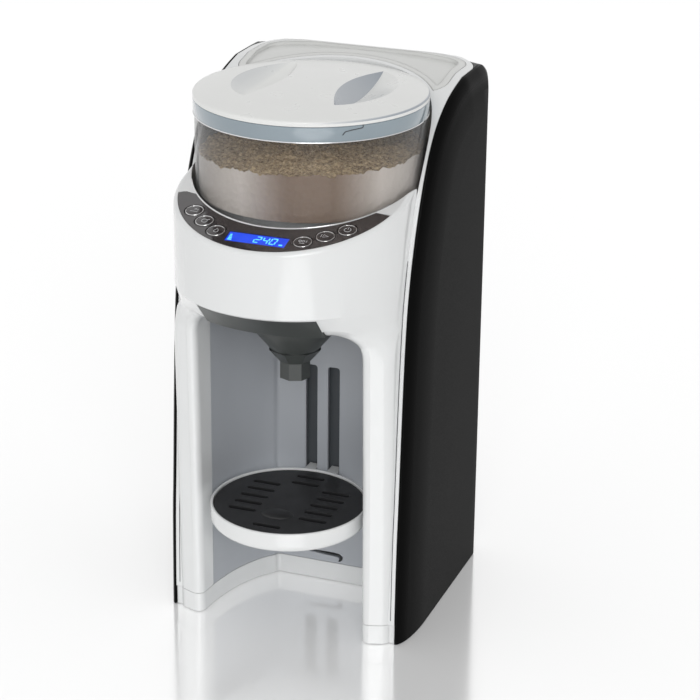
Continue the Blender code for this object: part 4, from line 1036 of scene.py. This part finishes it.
def make_tray():
    top, r = TRAY_TOP, TRAY_RADIUS
    turns = [math.radians(10 * i) for i in range(10)]
    rounding = [(r - 5 * (1 - math.cos(t)), top - 8.8 - 5 * math.sin(t)) for t in turns]
    tray = turned("tray_skin", [
        (r - 0.5, top), (r, top - 0.5), *rounding, (0, top - TRAY_HEIGHT), (0, top - TRAY_HEIGHT + 2.5),
        (r - 7, top - TRAY_HEIGHT + 2.5),
        (r - 3, top - 7), (r - 1.7, top - 6.8), (r - 1.7, top - 0.4), (r - 1.3, top)], (0, TRAY_Y))
    for side in (-1, 1):
        x = side * TRAY_TRACK_X
        hook = [(10, top - 12), (10, top - 3), (30, top - 3), (30, top - 8), (22, top - 8), (22, top - 12)]
        join(tray, slab(f"tray_hook_{side}", hook, x - 3.6, x + 3.6, axis="X"))
    cut(tray, cylinder("tray_inside", r - 1.9, top - 7, top + 10, (0, TRAY_Y), sides=128))
    finish_piece(tray, "tray", "white", "bottle_tray", sharp=30)
    grid = turned("grid_skin", [
        (0, top - 1.0), (r - 2.7, top - 1.0), (r - 2.2, top - 1.4), (r - 2.2, top - 6.6),
        (r - 4.4, top - 6.6), (r - 4.4, top - 3.2), (0, top - 3.2)],
        (0, TRAY_Y))
    slots = [
        rounded_rectangle(x - 9.7, TRAY_Y + y - 2.1, x + 9.7, TRAY_Y + y + 2.1, 2.0, 5)
        for x, y in GRID_SLOTS]
    cut(grid, *[slab("slot", outline, top - 10, top + 5) for outline in slots])
    bm = bmesh.new()
    bmesh.ops.create_uvsphere(bm, u_segments=48, v_segments=24, radius=1.0)
    low_dome = Matrix.Translation((0, TRAY_Y - 21, top - 1.4)) @ Matrix.Diagonal((11, 7.5, 2.6, 1))
    bmesh.ops.transform(bm, matrix=low_dome, verts=bm.verts)
    join(grid, place("grid_bump", bm))
    finish_piece(grid, "grid", "grid", "drip_grid", sharp=30)


GRID_SLOTS = [(side * 24.7, y) for side in (-1, 1) for y in (-21.4, -10.7, 0, 10.7, 21.4)]
GRID_SLOTS += [(0.0, -39.3), (0.0, 39.3), (0.0, 29.0)]


def make_details():
    """Seam lines on the casing."""
    for side in (-1, 1):
        x = side * (CORE_HALF_WIDTH - 2.6)
        path = [(x, y + 0.05, z) for y, z in smooth_path(FRONT_EDGE[:6], 6) if 15 < z < 292]
        finish_piece(sweep(f"strip_seam_{'left' if side < 0 else 'right'}", path, 0.28, sides=6), "frame",
            "seam")


CARRIED = {
    "silicone": ["lid_seal", "tank_valve", "inlet_tube", "feed_tube", "hot_water_tube"],
    "inner": ["dosing_wheel", "stirring_wheel", "drive_gear", "powder_chute", "water_nozzle", "tank_socket",
    "left_funnel_rail", "right_funnel_rail"],
    "rear": ["power_inlet"],
    "funnel": ["water_pump"],
    "rubber": ["rubber_foot_1", "rubber_foot_2", "rubber_foot_3", "rubber_foot_4"],
    "steel": ["base_screw_1", "base_screw_2", "base_screw_3", "base_screw_4", "drive_shaft",
    "shaft_bearing", "motor_bracket",
    "motor_pinion", "motor_shaft", "powder_motor", "water_heater"],
    "board": ["control_board", "power_board"],
    "smoke": ["water_tank"],
}


def dress_carried_nodes():
    for look, nodes in CARRIED.items():
        for node in nodes:
            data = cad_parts[node].data
            data.materials.clear()
            data.materials.append(LOOKS[look])


# --- Stage ---


AMBIENT = 0.68
BACKGROUND = 1.1
SUN = 1.0
SUN_FROM = Vector((0.35, -0.80, 0.45))


def make_stage():
    """A pale polished floor: it mirrors the object, and far away it fades into the background."""
    bm = bmesh.new()
    bmesh.ops.create_grid(bm, x_segments=1, y_segments=1, size=12000)
    floor = place("studio_floor", bm)
    made, nodes, links, shader = new_material("studio_floor")
    shader.inputs["Base Color"].default_value = (0.95, 0.95, 0.95, 1)
    shader.inputs["Roughness"].default_value = 0.7
    shader.inputs["Emission Color"].default_value = (1, 1, 1, 1)
    shader.inputs["Emission Strength"].default_value = 0.22
    sheen = nodes.new("ShaderNodeBsdfGlossy")
    sheen.inputs["Roughness"].default_value = 0.13
    sheen.inputs["Color"].default_value = (1, 1, 1, 1)
    mix = nodes.new("ShaderNodeMixShader")
    mix.inputs[0].default_value = 0.45
    links.new(shader.outputs[0], mix.inputs[1])
    links.new(sheen.outputs[0], mix.inputs[2])
    links.new(mix.outputs[0], nodes["Material Output"].inputs[0])
    floor.data.materials.append(made)


def make_light():
    """Even surroundings, darker where they are mirrored from the right, and one large soft sun in front."""
    world = bpy.data.worlds.new("studio")
    world.use_nodes = True
    nodes, links = world.node_tree.nodes, world.node_tree.links
    background = nodes["Background"]
    background.inputs["Color"].default_value = (1, 1, 1, 1)
    coordinates = nodes.new("ShaderNodeTexCoord")
    split = nodes.new("ShaderNodeSeparateXYZ")
    links.new(coordinates.outputs["Generated"], split.inputs["Vector"])
    mirrored = remap(nodes, links, split.outputs["X"], 1.0, 0.50, 0.30, 0.60)
    path = nodes.new("ShaderNodeLightPath")
    lit = blend_number(nodes, links, path.outputs["Is Glossy Ray"], AMBIENT, mirrored)
    seen = blend_number(nodes, links, path.outputs["Is Camera Ray"], lit, BACKGROUND)
    links.new(seen, background.inputs["Strength"])
    bpy.context.scene.world = world
    data = bpy.data.lights.new("sun", "SUN")
    data.energy = SUN
    data.angle = math.radians(35)
    new_object("sun", data).rotation_euler = SUN_FROM.to_track_quat("Z", "Y").to_euler()
    bpy.context.scene.view_settings.view_transform = "Standard"


def make_camera():
    turn, tip, roll = math.radians(20.34), math.radians(21.70), math.radians(0.58)
    distance = 1.5916
    target = Vector((0, 0.0705, 0.1524))
    rotation = Matrix.Rotation(turn, 4, "Z") @ Matrix.Rotation(math.pi / 2 - tip, 4, "X")
    position = target + rotation @ Vector((0, 0, distance))
    data = bpy.data.cameras.new("camera")
    data.lens = 118.3
    data.sensor_width = 36
    data.clip_end = 50
    camera = new_object("camera", data)
    camera.matrix_world = Matrix.Translation(position) @ rotation @ Matrix.Rotation(roll, 4, "Z")
    bpy.context.scene.camera = camera


LOOKS = make_materials()
make_camera()
make_shell()
make_controls()
make_side_panels()
make_rear_cover()
make_bay()
make_hopper()
make_lid()
make_tank_lid()
make_drawer()
make_tray()
make_details()
dress_carried_nodes()
make_stage()
make_light()
